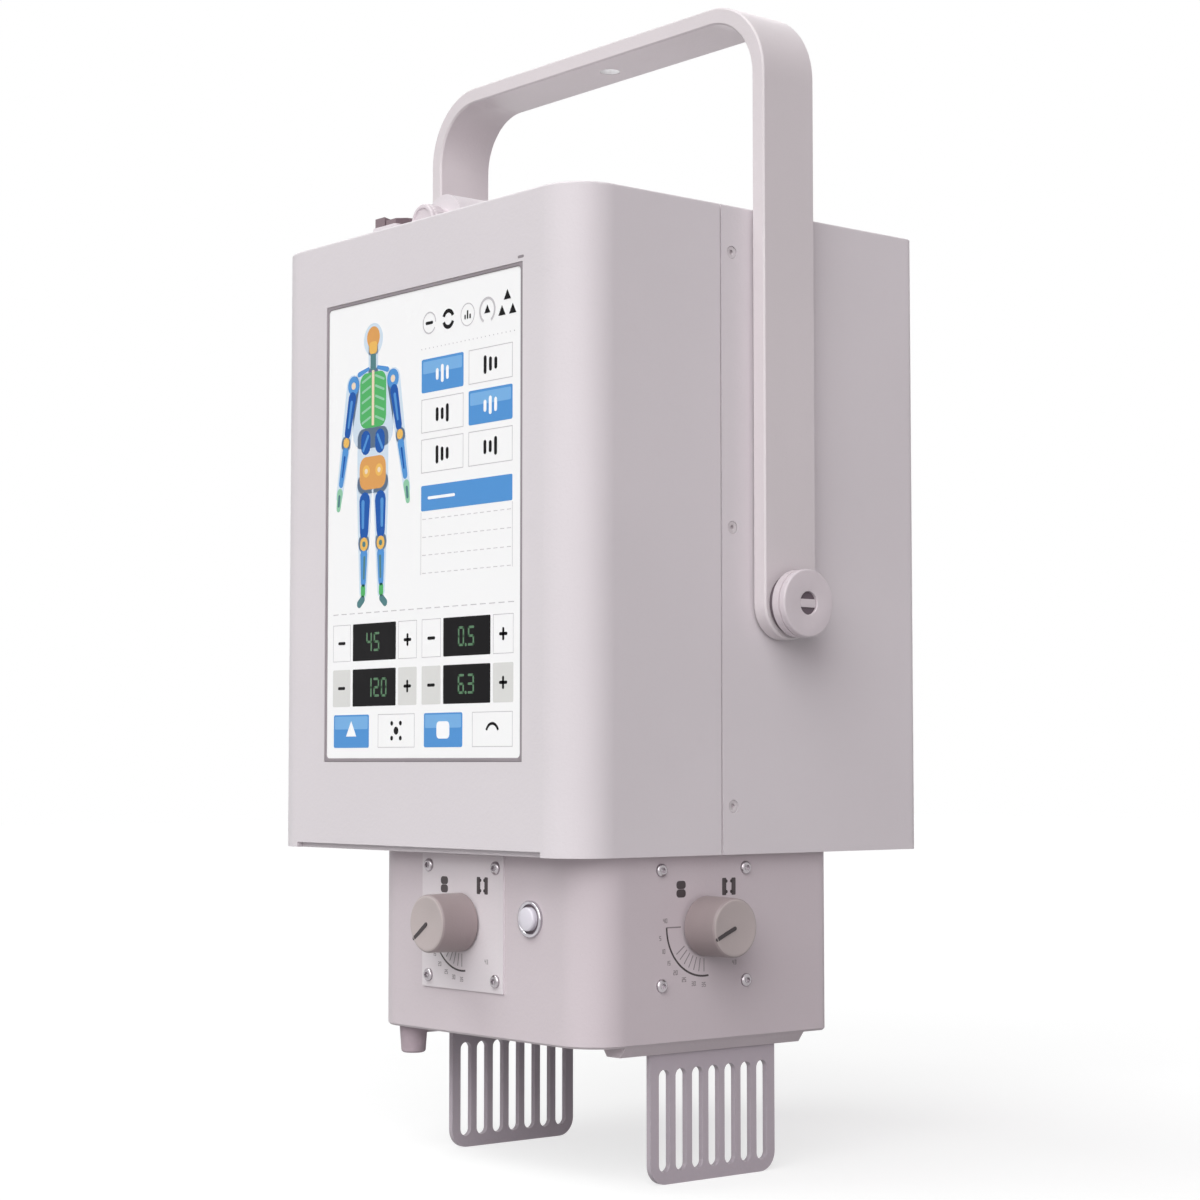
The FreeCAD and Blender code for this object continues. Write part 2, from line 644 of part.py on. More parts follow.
def bevelled_rim(radius, end, size):
    """Two points of a half section that break the outer rim at its end."""
    return [(radius, "%s - %s" % (end, size)), ("%s - %s" % (radius, size), end)]


def knobs():
    """Two field knobs, each with its shaft, on the front and right side of the box."""
    # Knob: name, x, y, turn that points it outwards
    table = [
        ("front_knob", "knob_x", "box_front", TO_FRONT),
        ("side_knob", "box_right", "knob_y", TO_RIGHT),
    ]
    pieces = []
    for name, x, y, turn in table:
        pieces.append(turned(
            name, None,
            [("0", "-collimator_wall - shaft_inside"), ("shaft_radius", "-collimator_wall - shaft_inside"),
             ("shaft_radius", "plate_thickness + knob_gap"),
             ("knob_radius", "plate_thickness + knob_gap")]
            + bevelled_rim("knob_radius", "knob_gap + knob_length", "knob_bevel")
            + [("0", "knob_gap + knob_length")],
            x, y, "knob_z", turn))
    together("field_knobs", pieces)


def screw_heads(label, spots, radius, height, turn):
    """Plain screw heads whose seats don't touch, at places given as expressions."""
    discs = []
    for x, y, z in spots:
        disc = screw_disc(label + "_disc", radius, height)
        disc.Placement.Rotation = FreeCAD.Rotation(*turn) if turn else FreeCAD.Rotation()
        discs.append(place(disc, None, x, y, z))
    return discs


def panels():
    """Scale plate behind the front knob, and the four screws round each knob."""
    body = new_body("front_scale_plate")
    face = sketch_on(body, "Face", "XZ_Plane", x="knob_x", y="knob_z", z="-box_front")
    rectangle(face, "-plate_size / 2", "-plate_size / 2", "plate_size / 2", "plate_size / 2")
    pad(body, face, "plate_thickness", "Plate")
    bore = sketch_on(body, "Bore", "XZ_Plane", x="knob_x", y="knob_z", z="-box_front + plate_thickness + past")
    ring(bore, "0", "0", "shaft_radius + bore_play")
    pocket(body, bore, "plate_thickness + 2 * past", "BoreCut")
    place(body, "front_scale_plate")
    corners = [(across, up) for across in (-1, 1) for up in (-1, 1)]
    front = [("knob_x + %d * plate_pitch / 2" % across, "box_front - plate_thickness",
              "knob_z + %d * plate_pitch / 2" % up) for across, up in corners]
    side = [("box_right", "knob_y + %d * plate_pitch / 2" % across,
             "knob_z + %d * plate_pitch / 2" % up) for across, up in corners]
    size = ("plate_screw_radius", "plate_screw_height")
    together(
        "panel_screws",
        screw_heads("front_screw", front, *size, TO_FRONT)
        + screw_heads("side_screw", side, *size, TO_RIGHT))


def lamp_button():
    """Push button for the field lamp, in a raised ring."""
    where = ("button_x", "box_front", "under - button_drop", TO_FRONT)
    turned(
        "button_ring", "lamp_button_ring",
        [("button_radius + button_gap", "0"), ("button_ring_radius", "0"),
         ("button_ring_radius", "button_ring_height"),
         ("button_radius + button_gap", "button_ring_height")],
        *where)
    turned(
        "button", "lamp_button",
        [("0", "0"), ("button_radius", "0")]
        + bevelled_rim("button_radius", "button_length", "button_bevel")
        + [("0", "button_length")],
        *where)


def stand():
    """Rails under the beam limiter and the slotted guard plates that the machine stands on."""
    # Side: name, outer side of its rail, +1 where outwards is +X
    sides = [("left", "stand_left", -1), ("right", "stand_right", 1)]
    together("accessory_rails", [rail(*side) for side in sides])
    together("guard_plates", [guard_plate(*side) for side in sides])
    spots = []
    for name, edge, out in sides:
        for end in (-1, 1):
            spots.append((
                "%s - %d * (guard_inset + guard_thickness + 2 * let_in_play + guard_screw_radius)"
                % (edge, out),
                "guard_y + %d * guard_screw_pitch / 2" % end,
                "guard_drop - rail_height - guard_screw_height"))
    together("guard_screws", screw_heads(
        "guard_screw", spots, "guard_screw_radius", "guard_screw_height", None))


def rail(name, edge, out):
    """One rail with sloped flanks, let out for the flange that it clamps to the box."""
    body = new_body("rail_" + name)
    section = sketch_on(
        body, "Section", "XZ_Plane", x=edge, y="guard_drop", z="-box_front - rail_front")
    far_side = "-%d * rail_width" % out
    outline(section, [
        ("0", "0"), (far_side, "0"),
        ("%s + %d * rail_slope" % (far_side, out), "-rail_height"),
        ("-%d * rail_slope" % out, "-rail_height")])
    bar = pad(body, section, "collimator_depth - rail_front - rail_back", "Bar")
    bar.Reversed = True
    doc.recompute()
    outside = "(%s - %d * (guard_inset - let_in_play))" % (edge, out)
    inside = "(%s - %d * (guard_inset + guard_thickness + let_in_play))" % (edge, out)
    flange = "(%s - %d * (rail_width + past))" % (edge, out)
    front = "guard_y - guard_width / 2 - let_in_play"
    back = "guard_y + guard_width / 2 + let_in_play"
    bed = sketch_on(body, "FlangeBed", "XY_Plane", z="guard_drop + past")
    rectangle(bed, flange, front, outside, back)
    pocket(body, bed, "guard_thickness + past", "FlangeBedCut")
    passage = sketch_on(body, "Passage", "XY_Plane", z="guard_drop + past")
    rectangle(passage, inside, front, outside, back)
    pocket(body, passage, "rail_height + 2 * past", "PassageCut")
    return place(body, None)


def guard_plate(name, edge, out):
    """One bent plate: flange between rail and box, slotted face down to the floor."""
    body = new_body("guard_plate_" + name)
    outside = "(%s - %d * guard_inset)" % (edge, out)
    inside = "(%s - %d * (guard_inset + guard_thickness))" % (edge, out)
    flange = "(%s - %d * (guard_inset + guard_flange))" % (edge, out)
    under_flange = "guard_drop - guard_thickness"
    section = sketch_on(body, "Section", "XZ_Plane", z="-guard_y - guard_width / 2")
    outline(section, [
        (outside, "0"), (outside, "guard_drop"), (flange, "guard_drop"),
        (flange, under_flange), (inside, under_flange), (inside, "0")])
    plate = pad(body, section, "guard_width", "Plate")
    fillet(
        body, plate,
        lambda edge: along(edge, 0) and near(edge.CenterOfMass.z, "0"),
        "guard_corner", "LowCorners")
    slots = sketch_on(
        body, "Slot", "YZ_Plane",
        x="guard_y - slot_pitch * (slot_count - 1) / 2",
        z="%s + past" % (outside if out > 0 else inside))
    upright_slot(
        slots, "0", "slot_bottom + slot_width / 2",
        "slot_bottom + slot_length - slot_width / 2", "slot_width / 2")
    cut = pocket(body, slots, "guard_thickness + 2 * past", "SlotCut")
    pattern = body.newObject("PartDesign::LinearPattern", "SlotRow")
    pattern.Originals = [cut]
    pattern.Direction = (slots, ["H_Axis"])
    bind(pattern, "Length", "slot_pitch * (slot_count - 1)")
    bind(pattern, "Occurrences", "slot_count")
    body.Tip = pattern
    doc.recompute()
    return place(body, None)


def peg():
    """Round peg under the front left corner of the beam limiter."""
    post = doc.addObject("Part::Cylinder", "corner_peg_post")
    bind(post, "Radius", "peg_radius")
    bind(post, "Height", "peg_height")
    place(post, "corner_peg", "box_left + peg_x", "box_front + peg_y", "guard_drop - peg_height")


def pivots():
    """On each side a washer, a stud through the strap and a turned cap."""
    washers = []
    studs = []
    caps = []
    for side, turn in ((-1, TO_LEFT), (1, TO_RIGHT)):
        washer = turned(
            "washer_%s" % ("left" if side < 0 else "right"), None,
            [("stud_radius + stud_clearance", "0"), ("washer_radius", "0"),
             ("washer_radius", "strap_gap - washer_play"),
             ("stud_radius + stud_clearance", "strap_gap - washer_play")],
            "%d * half_width" % side, "pivot_y", "pivot_z", turn)
        washer_end = "strap_gap + strap_thickness + washer_play"
        cap_end = washer_end + " + collar_height + cap_height"
        cap = turned(
            "cap_%s" % ("left" if side < 0 else "right"), None,
            [("stud_radius + stud_clearance", washer_end),
             ("collar_radius", washer_end),
             ("collar_radius", washer_end + " + collar_height"),
             ("cap_radius", washer_end + " + collar_height")]
            + bevelled_rim("cap_radius", cap_end, "cap_bevel")
            + [("cap_recess_radius", cap_end),
               ("cap_recess_radius", cap_end + " - cap_recess_depth"),
               ("stud_radius + stud_clearance", cap_end + " - cap_recess_depth")],
            "%d * half_width" % side, "pivot_y", "pivot_z", turn)
        stud = doc.addObject("Part::Cylinder", "Stud")
        bind(stud, "Radius", "stud_radius")
        bind(stud, "Height",
             "wall + stud_inside + %s - cap_recess_depth + stud_proud" % cap_end)
        place(stud, None, "%d * (half_width - wall - stud_inside)" % side,
              "pivot_y", "pivot_z", turn)
        washers.append(washer)
        caps.append(cap)
        studs.append(stud)
    together("pivot_washers", washers)
    together("pivot_caps", caps)
    together("pivot_studs", studs)


def handle():
    """Carrying bail: one flat strap bent over the machine, round at its pivots."""
    body = new_body("handle_strap")
    profile = sketch_on(body, "Profile", "XZ_Plane", z="-strap_width / 2")
    low = "-strap_width / 2"
    high = "(handle_top - pivot_z)"
    outline(profile, [
        ("-strap_outside", low), ("-strap_outside", high), ("strap_outside", high),
        ("strap_outside", low), ("strap_inside", low), ("strap_inside", high + " - strap_thickness"),
        ("-strap_inside", high + " - strap_thickness"), ("-strap_inside", low)])
    block = pad(body, profile, "strap_width", "Strap")
    outer = fillet(
        body, block,
        lambda edge: along(edge, 1) and near(edge.CenterOfMass.z, high),
        "strap_corner", "OuterCorners")
    inner = fillet(
        body, outer,
        lambda edge: along(edge, 1) and near(edge.CenterOfMass.z, high + " - strap_thickness")
        and near(abs(edge.CenterOfMass.x), "strap_inside"),
        "strap_corner - strap_thickness", "InnerCorners")
    ends = fillet(
        body, inner,
        lambda edge: along(edge, 0) and near(edge.CenterOfMass.z, low),
        "strap_width / 2 - let_in_play", "RoundEnds")
    chamfer(
        body, ends,
        lambda edge: near(abs(edge.CenterOfMass.y), "strap_width / 2") and along_side(edge),
        "strap_edge", "SoftEdges")
    pivot = sketch_on(body, "PivotHole", "YZ_Plane", z="strap_outside + past")
    ring(pivot, "0", "0", "stud_radius + stud_clearance")
    pocket(body, pivot, "2 * strap_outside + 2 * past", "PivotCut")
    bore = sketch_on(body, "GripHole", "XY_Plane", z=high + " + past")
    ring(bore, "0", "0", "strap_bore_radius")
    pocket(body, bore, "strap_thickness + 2 * past", "GripCut")
    place(body, "handle_strap", "0", "pivot_y", "pivot_z")


def along_side(edge):
    """True for an edge that lies in one of the strap's two narrow side faces."""
    box = edge.BoundBox
    return box.YMax - box.YMin < 0.01


def arch(sketch, half, rise):
    """An outline with upright sides and a half round top."""
    size, height = value(half), value(rise)
    middle = FreeCAD.Vector(0, height, 0)
    low_left, low_right = FreeCAD.Vector(-size, 0, 0), FreeCAD.Vector(size, 0, 0)
    side = FreeCAD.Vector(size, 0, 0)
    circle = Part.Circle(middle, FreeCAD.Vector(0, 0, 1), size)
    top = sketch.addGeometry(Part.ArcOfCircle(circle, 0, math.pi), False)
    left = sketch.addGeometry(Part.LineSegment(middle - side, low_left), False)
    low = sketch.addGeometry(Part.LineSegment(low_left, low_right), False)
    right = sketch.addGeometry(Part.LineSegment(low_right, middle + side), False)
    for one, other in ((top, left), (right, top)):
        sketch.addConstraint(Sketcher.Constraint("Tangent", one, 2, other, 1))
    for one, other in ((left, low), (low, right)):
        sketch.addConstraint(Sketcher.Constraint("Coincident", one, 2, other, 1))
    fix_point(sketch, low, 1, "-" + half, "0")
    fix_point(sketch, low, 2, half, "0")
    fix_point(sketch, top, 3, "0", rise)


def top_fittings():
    """Arched hood with a round socket, and the power switch, near the front left of the top."""
    hood = new_body("socket_hood")
    face = sketch_on(hood, "Face", "XZ_Plane")
    arch(face, "hood_width / 2", "hood_rise")
    shell = pad(hood, face, "hood_length", "Hood")
    shell.Reversed = True
    doc.recompute()
    place(hood, "socket_hood", "hood_x", "(hood_front - half_depth)", "top")
    turned(
        "socket", "round_socket",
        [("0", "0"), ("socket_neck", "0"), ("socket_neck", "neck_length"),
         ("socket_radius", "neck_length"), ("socket_radius", "socket_length"),
         ("0", "socket_length")],
        "hood_x", "(hood_front - half_depth)", "top + hood_rise", TO_FRONT)
    base = new_body("switch_bezel")
    plan = sketch_on(base, "Plan", "XY_Plane")
    rectangle(plan, "-switch_width / 2", "0", "switch_width / 2", "switch_depth")
    block = pad(base, plan, "switch_height", "Bezel")
    fillet(base, block, lambda edge: along(edge, 2), "switch_corner", "Corners")
    place(base, "switch_bezel", "switch_x", "(switch_front - half_depth)", "top")
    rockers = []
    for left_edge in ("rocker_margin - switch_width / 2", "rocker_margin / 2"):
        rocker = doc.addObject("Part::Box", "Rocker")
        bind(rocker, "Length", "switch_width / 2 - rocker_margin * 1.5")
        bind(rocker, "Width", "switch_depth - 2 * rocker_margin")
        bind(rocker, "Height", "rocker_height")
        bind(rocker, ".Placement.Base.x", left_edge)
        bind(rocker, ".Placement.Base.y", "rocker_margin")
        rockers.append(rocker)
    group = doc.addObject("Part::Compound", "switch_rockers_group")
    group.Links = rockers
    place(group, "switch_rockers",
          "switch_x", "(switch_front - half_depth)", "top + switch_height")


def write_parts():
    """Check every object of the document, then write one file for each sub-part."""
    doc.recompute()
    for item in doc.Objects:
        if "Invalid" in item.State or "Error" in item.State:
            raise RuntimeError("failed: " + item.Name + " " + str(item.State))
    for item in PARTS:
        shape = item.Shape
        if shape.isNull() or not shape.isValid() or shape.Volume <= 0:
            raise RuntimeError("bad shape: " + item.Label)
    os.makedirs("parts", exist_ok=True)
    for item in PARTS:
        item.Shape.exportStep("parts/%s.step" % item.Label)
        print(item.Label, len(item.Shape.Solids), round(item.Shape.Volume, 1))


front_cover()
rear_cover()
cover_screws()
base_plate()
display()
tank()
collimator()
leaves()
knobs()
panels()
lamp_button()
stand()
peg()
pivots()
handle()
top_fittings()
write_parts()
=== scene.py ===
"""Looks of the portable x-ray machine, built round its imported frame.

Metres, in the frame of the CAD: +X right, -Y towards the display, +Z up, floor at z = 0.
"""
import math

import bpy
import bmesh
import numpy as np
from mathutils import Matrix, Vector


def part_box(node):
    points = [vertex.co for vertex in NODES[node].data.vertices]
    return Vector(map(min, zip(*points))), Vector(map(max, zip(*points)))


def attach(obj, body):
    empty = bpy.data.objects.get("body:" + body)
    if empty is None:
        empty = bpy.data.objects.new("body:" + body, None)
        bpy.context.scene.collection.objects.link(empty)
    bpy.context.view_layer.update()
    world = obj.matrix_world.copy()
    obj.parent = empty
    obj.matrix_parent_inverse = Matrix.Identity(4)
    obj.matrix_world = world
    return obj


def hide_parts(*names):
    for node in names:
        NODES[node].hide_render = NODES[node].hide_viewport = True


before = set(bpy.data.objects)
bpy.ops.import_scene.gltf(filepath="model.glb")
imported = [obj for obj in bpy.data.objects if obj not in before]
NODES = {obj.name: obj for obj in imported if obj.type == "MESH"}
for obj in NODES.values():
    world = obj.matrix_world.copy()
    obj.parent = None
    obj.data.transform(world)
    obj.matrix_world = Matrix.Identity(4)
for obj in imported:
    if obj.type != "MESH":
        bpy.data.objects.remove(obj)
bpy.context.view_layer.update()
MM = 0.001
BODY = "housing"
GRIP = "handle"


# Shader maths

class Signal:
    """One output socket of a shader. Arithmetic on it adds Math nodes to the same finish."""

    def __init__(self, finish, socket):
        self.finish = finish
        self.socket = socket

    def _with(self, operation, other, swapped=False):
        """A Math node of this value and another."""
        first, second = (other, self) if swapped else (self, other)
        return self.finish.node(
            "ShaderNodeMath", {"operation": operation}, {0: first, 1: second})

    def __add__(self, other):
        return self._with("ADD", other)

    def __radd__(self, other):
        return self._with("ADD", other, True)

    def __sub__(self, other):
        return self._with("SUBTRACT", other)

    def __rsub__(self, other):
        return self._with("SUBTRACT", other, True)

    def __mul__(self, other):
        return self._with("MULTIPLY", other)

    def __rmul__(self, other):
        return self._with("MULTIPLY", other, True)

    def clip(self):
        """The value held between 0 and 1."""
        return self.finish.node(
            "ShaderNodeMath", {"operation": "ADD", "use_clamp": True}, {0: self, 1: 0.0})

    def between(self, low, high):
        """0 at low, 1 at high, smooth in between and flat outside."""
        return self.finish.node(
            "ShaderNodeMapRange", {"interpolation_type": "SMOOTHSTEP"},
            {"Value": self, "From Min": low, "From Max": high})


class Finish:
    """One material: a Principled surface and the nodes that vary it."""

    def __init__(self, name):
        self.material = bpy.data.materials.new(name)
        self.material.use_nodes = True
        self.tree = self.material.node_tree
        self.tree.nodes.clear()
        self.place = self.node("ShaderNodeTexCoord", output="Object")

    def node(self, kind, settings=None, inputs=None, output=0):
        """Any node: its type, its settings, then the values or links of its sockets."""
        made = self.tree.nodes.new(kind)
        for key, setting in (settings or {}).items():
            setattr(made, key, setting)
        for key, given in (inputs or {}).items():
            if isinstance(given, Signal):
                self.tree.links.new(given.socket, made.inputs[key])
            else:
                made.inputs[key].default_value = given
        return Signal(self, made.outputs[output]) if len(made.outputs) else made

    def stretched(self, x, y, z):
        """Object coordinates with a scale of their own along each axis."""
        return self.node("ShaderNodeMapping", None, {"Vector": self.place, "Scale": (x, y, z)})

    def noise(self, scale, detail=2.0, rough=0.5, vector=None):
        """Soft random values from 0 to 1, finer with a larger scale."""
        return self.node("ShaderNodeTexNoise", None, {
            "Vector": vector or self.place, "Scale": scale, "Detail": detail, "Roughness": rough})

    def cells(self, scale, vector=None):
        """Distance to the nearest of scattered points, for pebbled surfaces."""
        return self.node("ShaderNodeTexVoronoi", None, {"Vector": vector or self.place, "Scale": scale})

    def blend(self, factor, low, high):
        """A colour between two, by a factor from 0 to 1."""
        return self.node(
            "ShaderNodeMix", {"data_type": "RGBA"}, {0: factor, 6: low, 7: high}, output=2)

    def bump(self, height, strength, reach, under=None):
        """A fine relief from heights, which may lie over another one."""
        inputs = {"Height": height, "Strength": strength, "Distance": reach}
        if under is not None:
            inputs["Normal"] = under
        return self.node("ShaderNodeBump", None, inputs)

    def surface(self, **sockets):
        """The Principled surface, with socket names in lower case and underscores."""
        named = {
            key.replace("_", " ").title().replace("Ior", "IOR"): given
            for key, given in sockets.items()}
        shader = self.node("ShaderNodeBsdfPrincipled", None, named)
        self.node("ShaderNodeOutputMaterial", None, {"Surface": shader})
        return self.material


def linear(red, green, blue):
    """A colour given as 0 to 255 on a screen, turned into the light it stands for."""
    shown = np.array([red, green, blue]) / 255.0
    light = np.where(shown <= 0.04045, shown / 12.92, ((shown + 0.055) / 1.055) ** 2.4)
    return (*light.tolist(), 1.0)


def shade(colour, factor):
    """The same colour, lighter or darker."""
    return tuple(min(1.0, channel * factor) for channel in colour[:3]) + (1.0,)


def powder_coat(name, colour, rough=0.45, grime=0.05):
    """Satin powder coat: orange peel, fine specks, broad tone changes, faint wipe marks."""
    f = Finish(name)
    tone = f.noise(7.0, 3.0)
    speck = f.noise(1900.0, 1.0)
    wipe = f.noise(14.0, 4.0, 0.6, f.stretched(1.0, 1.0, 6.0))
    dust = f.noise(45.0, 5.0, 0.7).between(0.56, 0.78)
    base = f.blend(tone.between(0.3, 0.7), shade(colour, 0.975), shade(colour, 1.015))
    base = f.blend(speck.between(0.62, 0.75) * 0.35, base, shade(colour, 0.90))
    base = f.blend(dust * grime, base, shade(colour, 0.72))
    peel = f.noise(620.0, 2.0)
    grain = f.noise(2600.0, 1.0)
    relief = f.bump(peel, 0.22, 0.00035)
    relief = f.bump(grain, 0.12, 0.0001, relief)
    return f.surface(
        base_color=base, roughness=rough + 0.12 * wipe + 0.08 * dust - 0.08,
        normal=relief, specular_ior_level=0.27)


def moulded(name, colour, rough=0.45, pebble=900.0, wear=0.25, coat=0.0):
    """Moulded plastic: fine pebbled skin, slight tone changes, dull rubbed spots."""
    f = Finish(name)
    tone = f.noise(24.0, 3.0)
    rub = f.noise(90.0, 4.0, 0.65).between(0.55, 0.8)
    base = f.blend(tone.between(0.3, 0.7), shade(colour, 0.93), shade(colour, 1.05))
    base = f.blend(rub * wear, base, shade(colour, 1.25))
    skin = f.cells(pebble)
    relief = f.bump(skin, 0.16, 0.00025)
    return f.surface(
        base_color=base, roughness=rough + 0.10 * rub + 0.08 * tone - 0.04,
        normal=relief, coat_weight=coat, coat_roughness=0.12)


def bare_metal(name, colour, rough=0.26, streak=(1.0, 1.0, 12.0), fine=420.0):
    """Turned or brushed metal: fine streaks, smudges and darker specks of tarnish."""
    f = Finish(name)
    lines = f.noise(fine, 3.0, 0.6, f.stretched(*streak))
    smudge = f.noise(130.0, 3.0)
    spot = f.noise(600.0, 3.0, 0.6).between(0.62, 0.74)
    base = f.blend(smudge.between(0.3, 0.7), shade(colour, 0.88), shade(colour, 1.06))
    base = f.blend(spot * 0.3, base, shade(colour, 0.5))
    return f.surface(
        base_color=base, metallic=1.0, roughness=rough + 0.16 * lines + 0.1 * smudge - 0.1,
        normal=f.bump(lines, 0.1, 0.0001))


def printed_ink(name, colour):
    """Screen-printed ink: matte, a little thin in places."""
    f = Finish(name)
    thin = f.noise(1400.0, 3.0, 0.6).between(0.5, 0.8)
    base = f.blend(thin * 0.25, colour, shade(colour, 2.2))
    return f.surface(
        base_color=base, roughness=0.5 + 0.15 * thin, normal=f.bump(thin, 0.08, 0.00005))


def lit_panel(name, colour, glow, smooth=0.16):
    """Part of the lit display behind its touch glass: even light, fine dot pitch, finger marks."""
    f = Finish(name)
    dots = f.cells(5200.0)
    marks = f.noise(34.0, 5.0, 0.62, f.stretched(1.0, 1.0, 0.6)).between(0.52, 0.78)
    base = f.blend(dots.between(0.2, 0.9) * 0.06, colour, shade(colour, 0.8))
    return f.surface(
        base_color=base, roughness=smooth + 0.22 * marks, coat_weight=0.02 + 0.10 * marks,
        emission_color=base, emission_strength=glow, specular_ior_level=0.08,
        normal=f.bump(marks, 0.015, 0.0001), coat_roughness=0.06)


def clear_pane(name):
    """Clear plastic pane of the beam limiter with fine scuffs."""
    f = Finish(name)
    scuff = f.noise(300.0, 5.0, 0.7, f.stretched(1.0, 5.0, 1.0)).between(0.55, 0.8)
    return f.surface(
        base_color=f.blend(scuff, (0.86, 0.91, 0.92, 1.0), (0.7, 0.74, 0.75, 1.0)),
        roughness=0.06 + 0.3 * scuff, transmission_weight=0.85, ior=1.49,
        normal=f.bump(scuff, 0.05, 0.0001))


def rubber(name, colour):
    """Dull soft plastic with mould bloom."""
    f = Finish(name)
    bloom = f.noise(160.0, 4.0, 0.6).between(0.4, 0.75)
    return f.surface(
        base_color=f.blend(bloom, colour, shade(colour, 1.18)), roughness=0.6 + 0.2 * bloom,
        normal=f.bump(f.noise(1500.0, 2.0), 0.2, 0.0002))


PAINT = powder_coat("housing_powder_coat", linear(226, 219, 223))
PAINT_BOX = powder_coat("limiter_powder_coat", linear(210, 199, 204), 0.44, 0.06)
PAINT_GUARD = powder_coat("guard_powder_coat", linear(190, 180, 188), 0.46, 0.10)
PAINT_HANDLE = powder_coat("handle_powder_coat", linear(224, 216, 219), 0.38, 0.08)
PAINT_SCREW = powder_coat("painted_screw", linear(214, 207, 210), 0.40, 0.12)
RIM = moulded("display_rim", linear(146, 137, 142), 0.5, 1200.0, 0.1)
GLASS = lit_panel("display_white", (0.955, 0.948, 0.954, 1.0), 0.06)
TANK = bare_metal("cast_tank", linear(168, 170, 172), 0.45)
LEAD = bare_metal("lead_leaves", linear(92, 93, 96), 0.55)
PANE = clear_pane("clear_window")
# The knob wall is a darker copy of the knob face colour: painted shade on the knob's side.
KNOB_WALL_PAINTED_SHADE = moulded("knob_wall_painted_shade", linear(156, 142, 143), 0.46, 1400.0, 0.12)
KNOB_FACE = moulded("knob_face", linear(184, 172, 171), 0.40, 1400.0, 0.12)
PLATE = powder_coat("scale_plate_paint", linear(224, 216, 220), 0.36, 0.04)
STEEL = bare_metal("bright_screws", linear(176, 170, 174), 0.24)
CHROME = bare_metal("polished_ring", linear(196, 192, 198), 0.1)
BUTTON = moulded("glossy_button", linear(226, 221, 231), 0.16, 500.0, 0.05, 0.6)
# The grip's hole lining is near white as a painted highlight.
LINING_PAINTED_HIGHLIGHT = moulded("white_lining_painted_highlight", linear(252, 250, 252), 0.3, 700.0, 0.0, 0.3)
GREY_PLASTIC = moulded("light_grey_plastic", linear(221, 211, 216), 0.42, 1100.0, 0.15)
WASHER = moulded("washer_plastic", linear(150, 143, 145), 0.5, 900.0, 0.1)
PEG = rubber("peg_rubber", linear(177, 161, 169))
# A dark seal colour that also serves as painted shade: in the gap round the lamp button, behind the
# pivot caps and on their recess floors.
SEAL_AND_PAINTED_SHADE = rubber("seal_and_painted_shade", linear(96, 84, 92))
DARK = moulded("dark_rockers", linear(128, 110, 116), 0.36, 900.0, 0.2)
INK = printed_ink("dark_ink", linear(62, 52, 55))
PALE_INK = printed_ink("pale_ink", linear(140, 131, 134))
POINTER_INK = printed_ink("pointer_ink", linear(50, 42, 45))

CAD_FINISH = {
    "front_cover": PAINT, "rear_cover": PAINT, "base_plate": PAINT, "cover_screws": PAINT_SCREW,
    "display_frame": RIM, "display_glass": GLASS, "xray_tank": TANK, "collimator_box": PAINT_BOX,
    "beam_window": PANE, "beam_leaves": LEAD, "field_knobs": KNOB_WALL_PAINTED_SHADE, "front_scale_plate": PLATE,
    "panel_screws": STEEL, "lamp_button_ring": CHROME, "lamp_button": BUTTON,
    "accessory_rails": PAINT_BOX, "guard_plates": PAINT_GUARD, "guard_screws": STEEL,
    "corner_peg": PEG, "pivot_washers": WASHER, "pivot_caps": GREY_PLASTIC,
    "pivot_studs": STEEL, "handle_strap": PAINT_HANDLE, "socket_hood": PAINT,
    "round_socket": GREY_PLASTIC, "switch_bezel": PAINT, "switch_rockers": DARK,
}
for node_name, finish in CAD_FINISH.items():
    NODES[node_name].data.materials.clear()
    NODES[node_name].data.materials.append(finish)


# Meshes

def mesh_object(name, points, faces, finish, slot, body=BODY, smooth=40):
    """A finished mesh object at the origin that rides a body, smooth up to an angle in degrees."""
    mesh = bpy.data.meshes.new(name)
    mesh.from_pydata(points, [], faces)
    work = bmesh.new()
    work.from_mesh(mesh)
    bmesh.ops.remove_doubles(work, verts=work.verts, dist=1e-7)
    bmesh.ops.dissolve_degenerate(work, dist=1e-7, edges=work.edges)
    work.to_mesh(mesh)
    work.free()
    mesh.polygons.foreach_set("use_smooth", np.full(len(mesh.polygons), smooth > 0))
    if smooth > 0:
        mesh.set_sharp_from_angle(angle=math.radians(smooth))
    mesh.materials.append(finish)
    made = bpy.data.objects.new(name, mesh)
    bpy.context.scene.collection.objects.link(made)
    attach(made, body)
    return made


def surface_faces(rows, columns):
    """Quads of a grid of points that closes on itself along its columns."""
    row, column = np.meshgrid(np.arange(rows - 1), np.arange(columns), indexing="ij")
    after = (column + 1) % columns
    corners = [
        row * columns + column, row * columns + after,
        (row + 1) * columns + after, (row + 1) * columns + column]
    return np.stack(corners, axis=-1).reshape(-1, 4)


def basis(outwards):
    """Right, up and outward directions of a piece that looks along outwards."""
    out = np.array(outwards, float)
    up = np.array([0.0, 0.0, 1.0]) if abs(out[2]) < 0.9 else np.array([0.0, 1.0, 0.0])
    right = np.cross(up, out)
    return right, np.cross(out, right), out


def middle(low, high):
    """The point halfway between two corners."""
    return tuple((a + b) / 2 for a, b in zip(low, high))


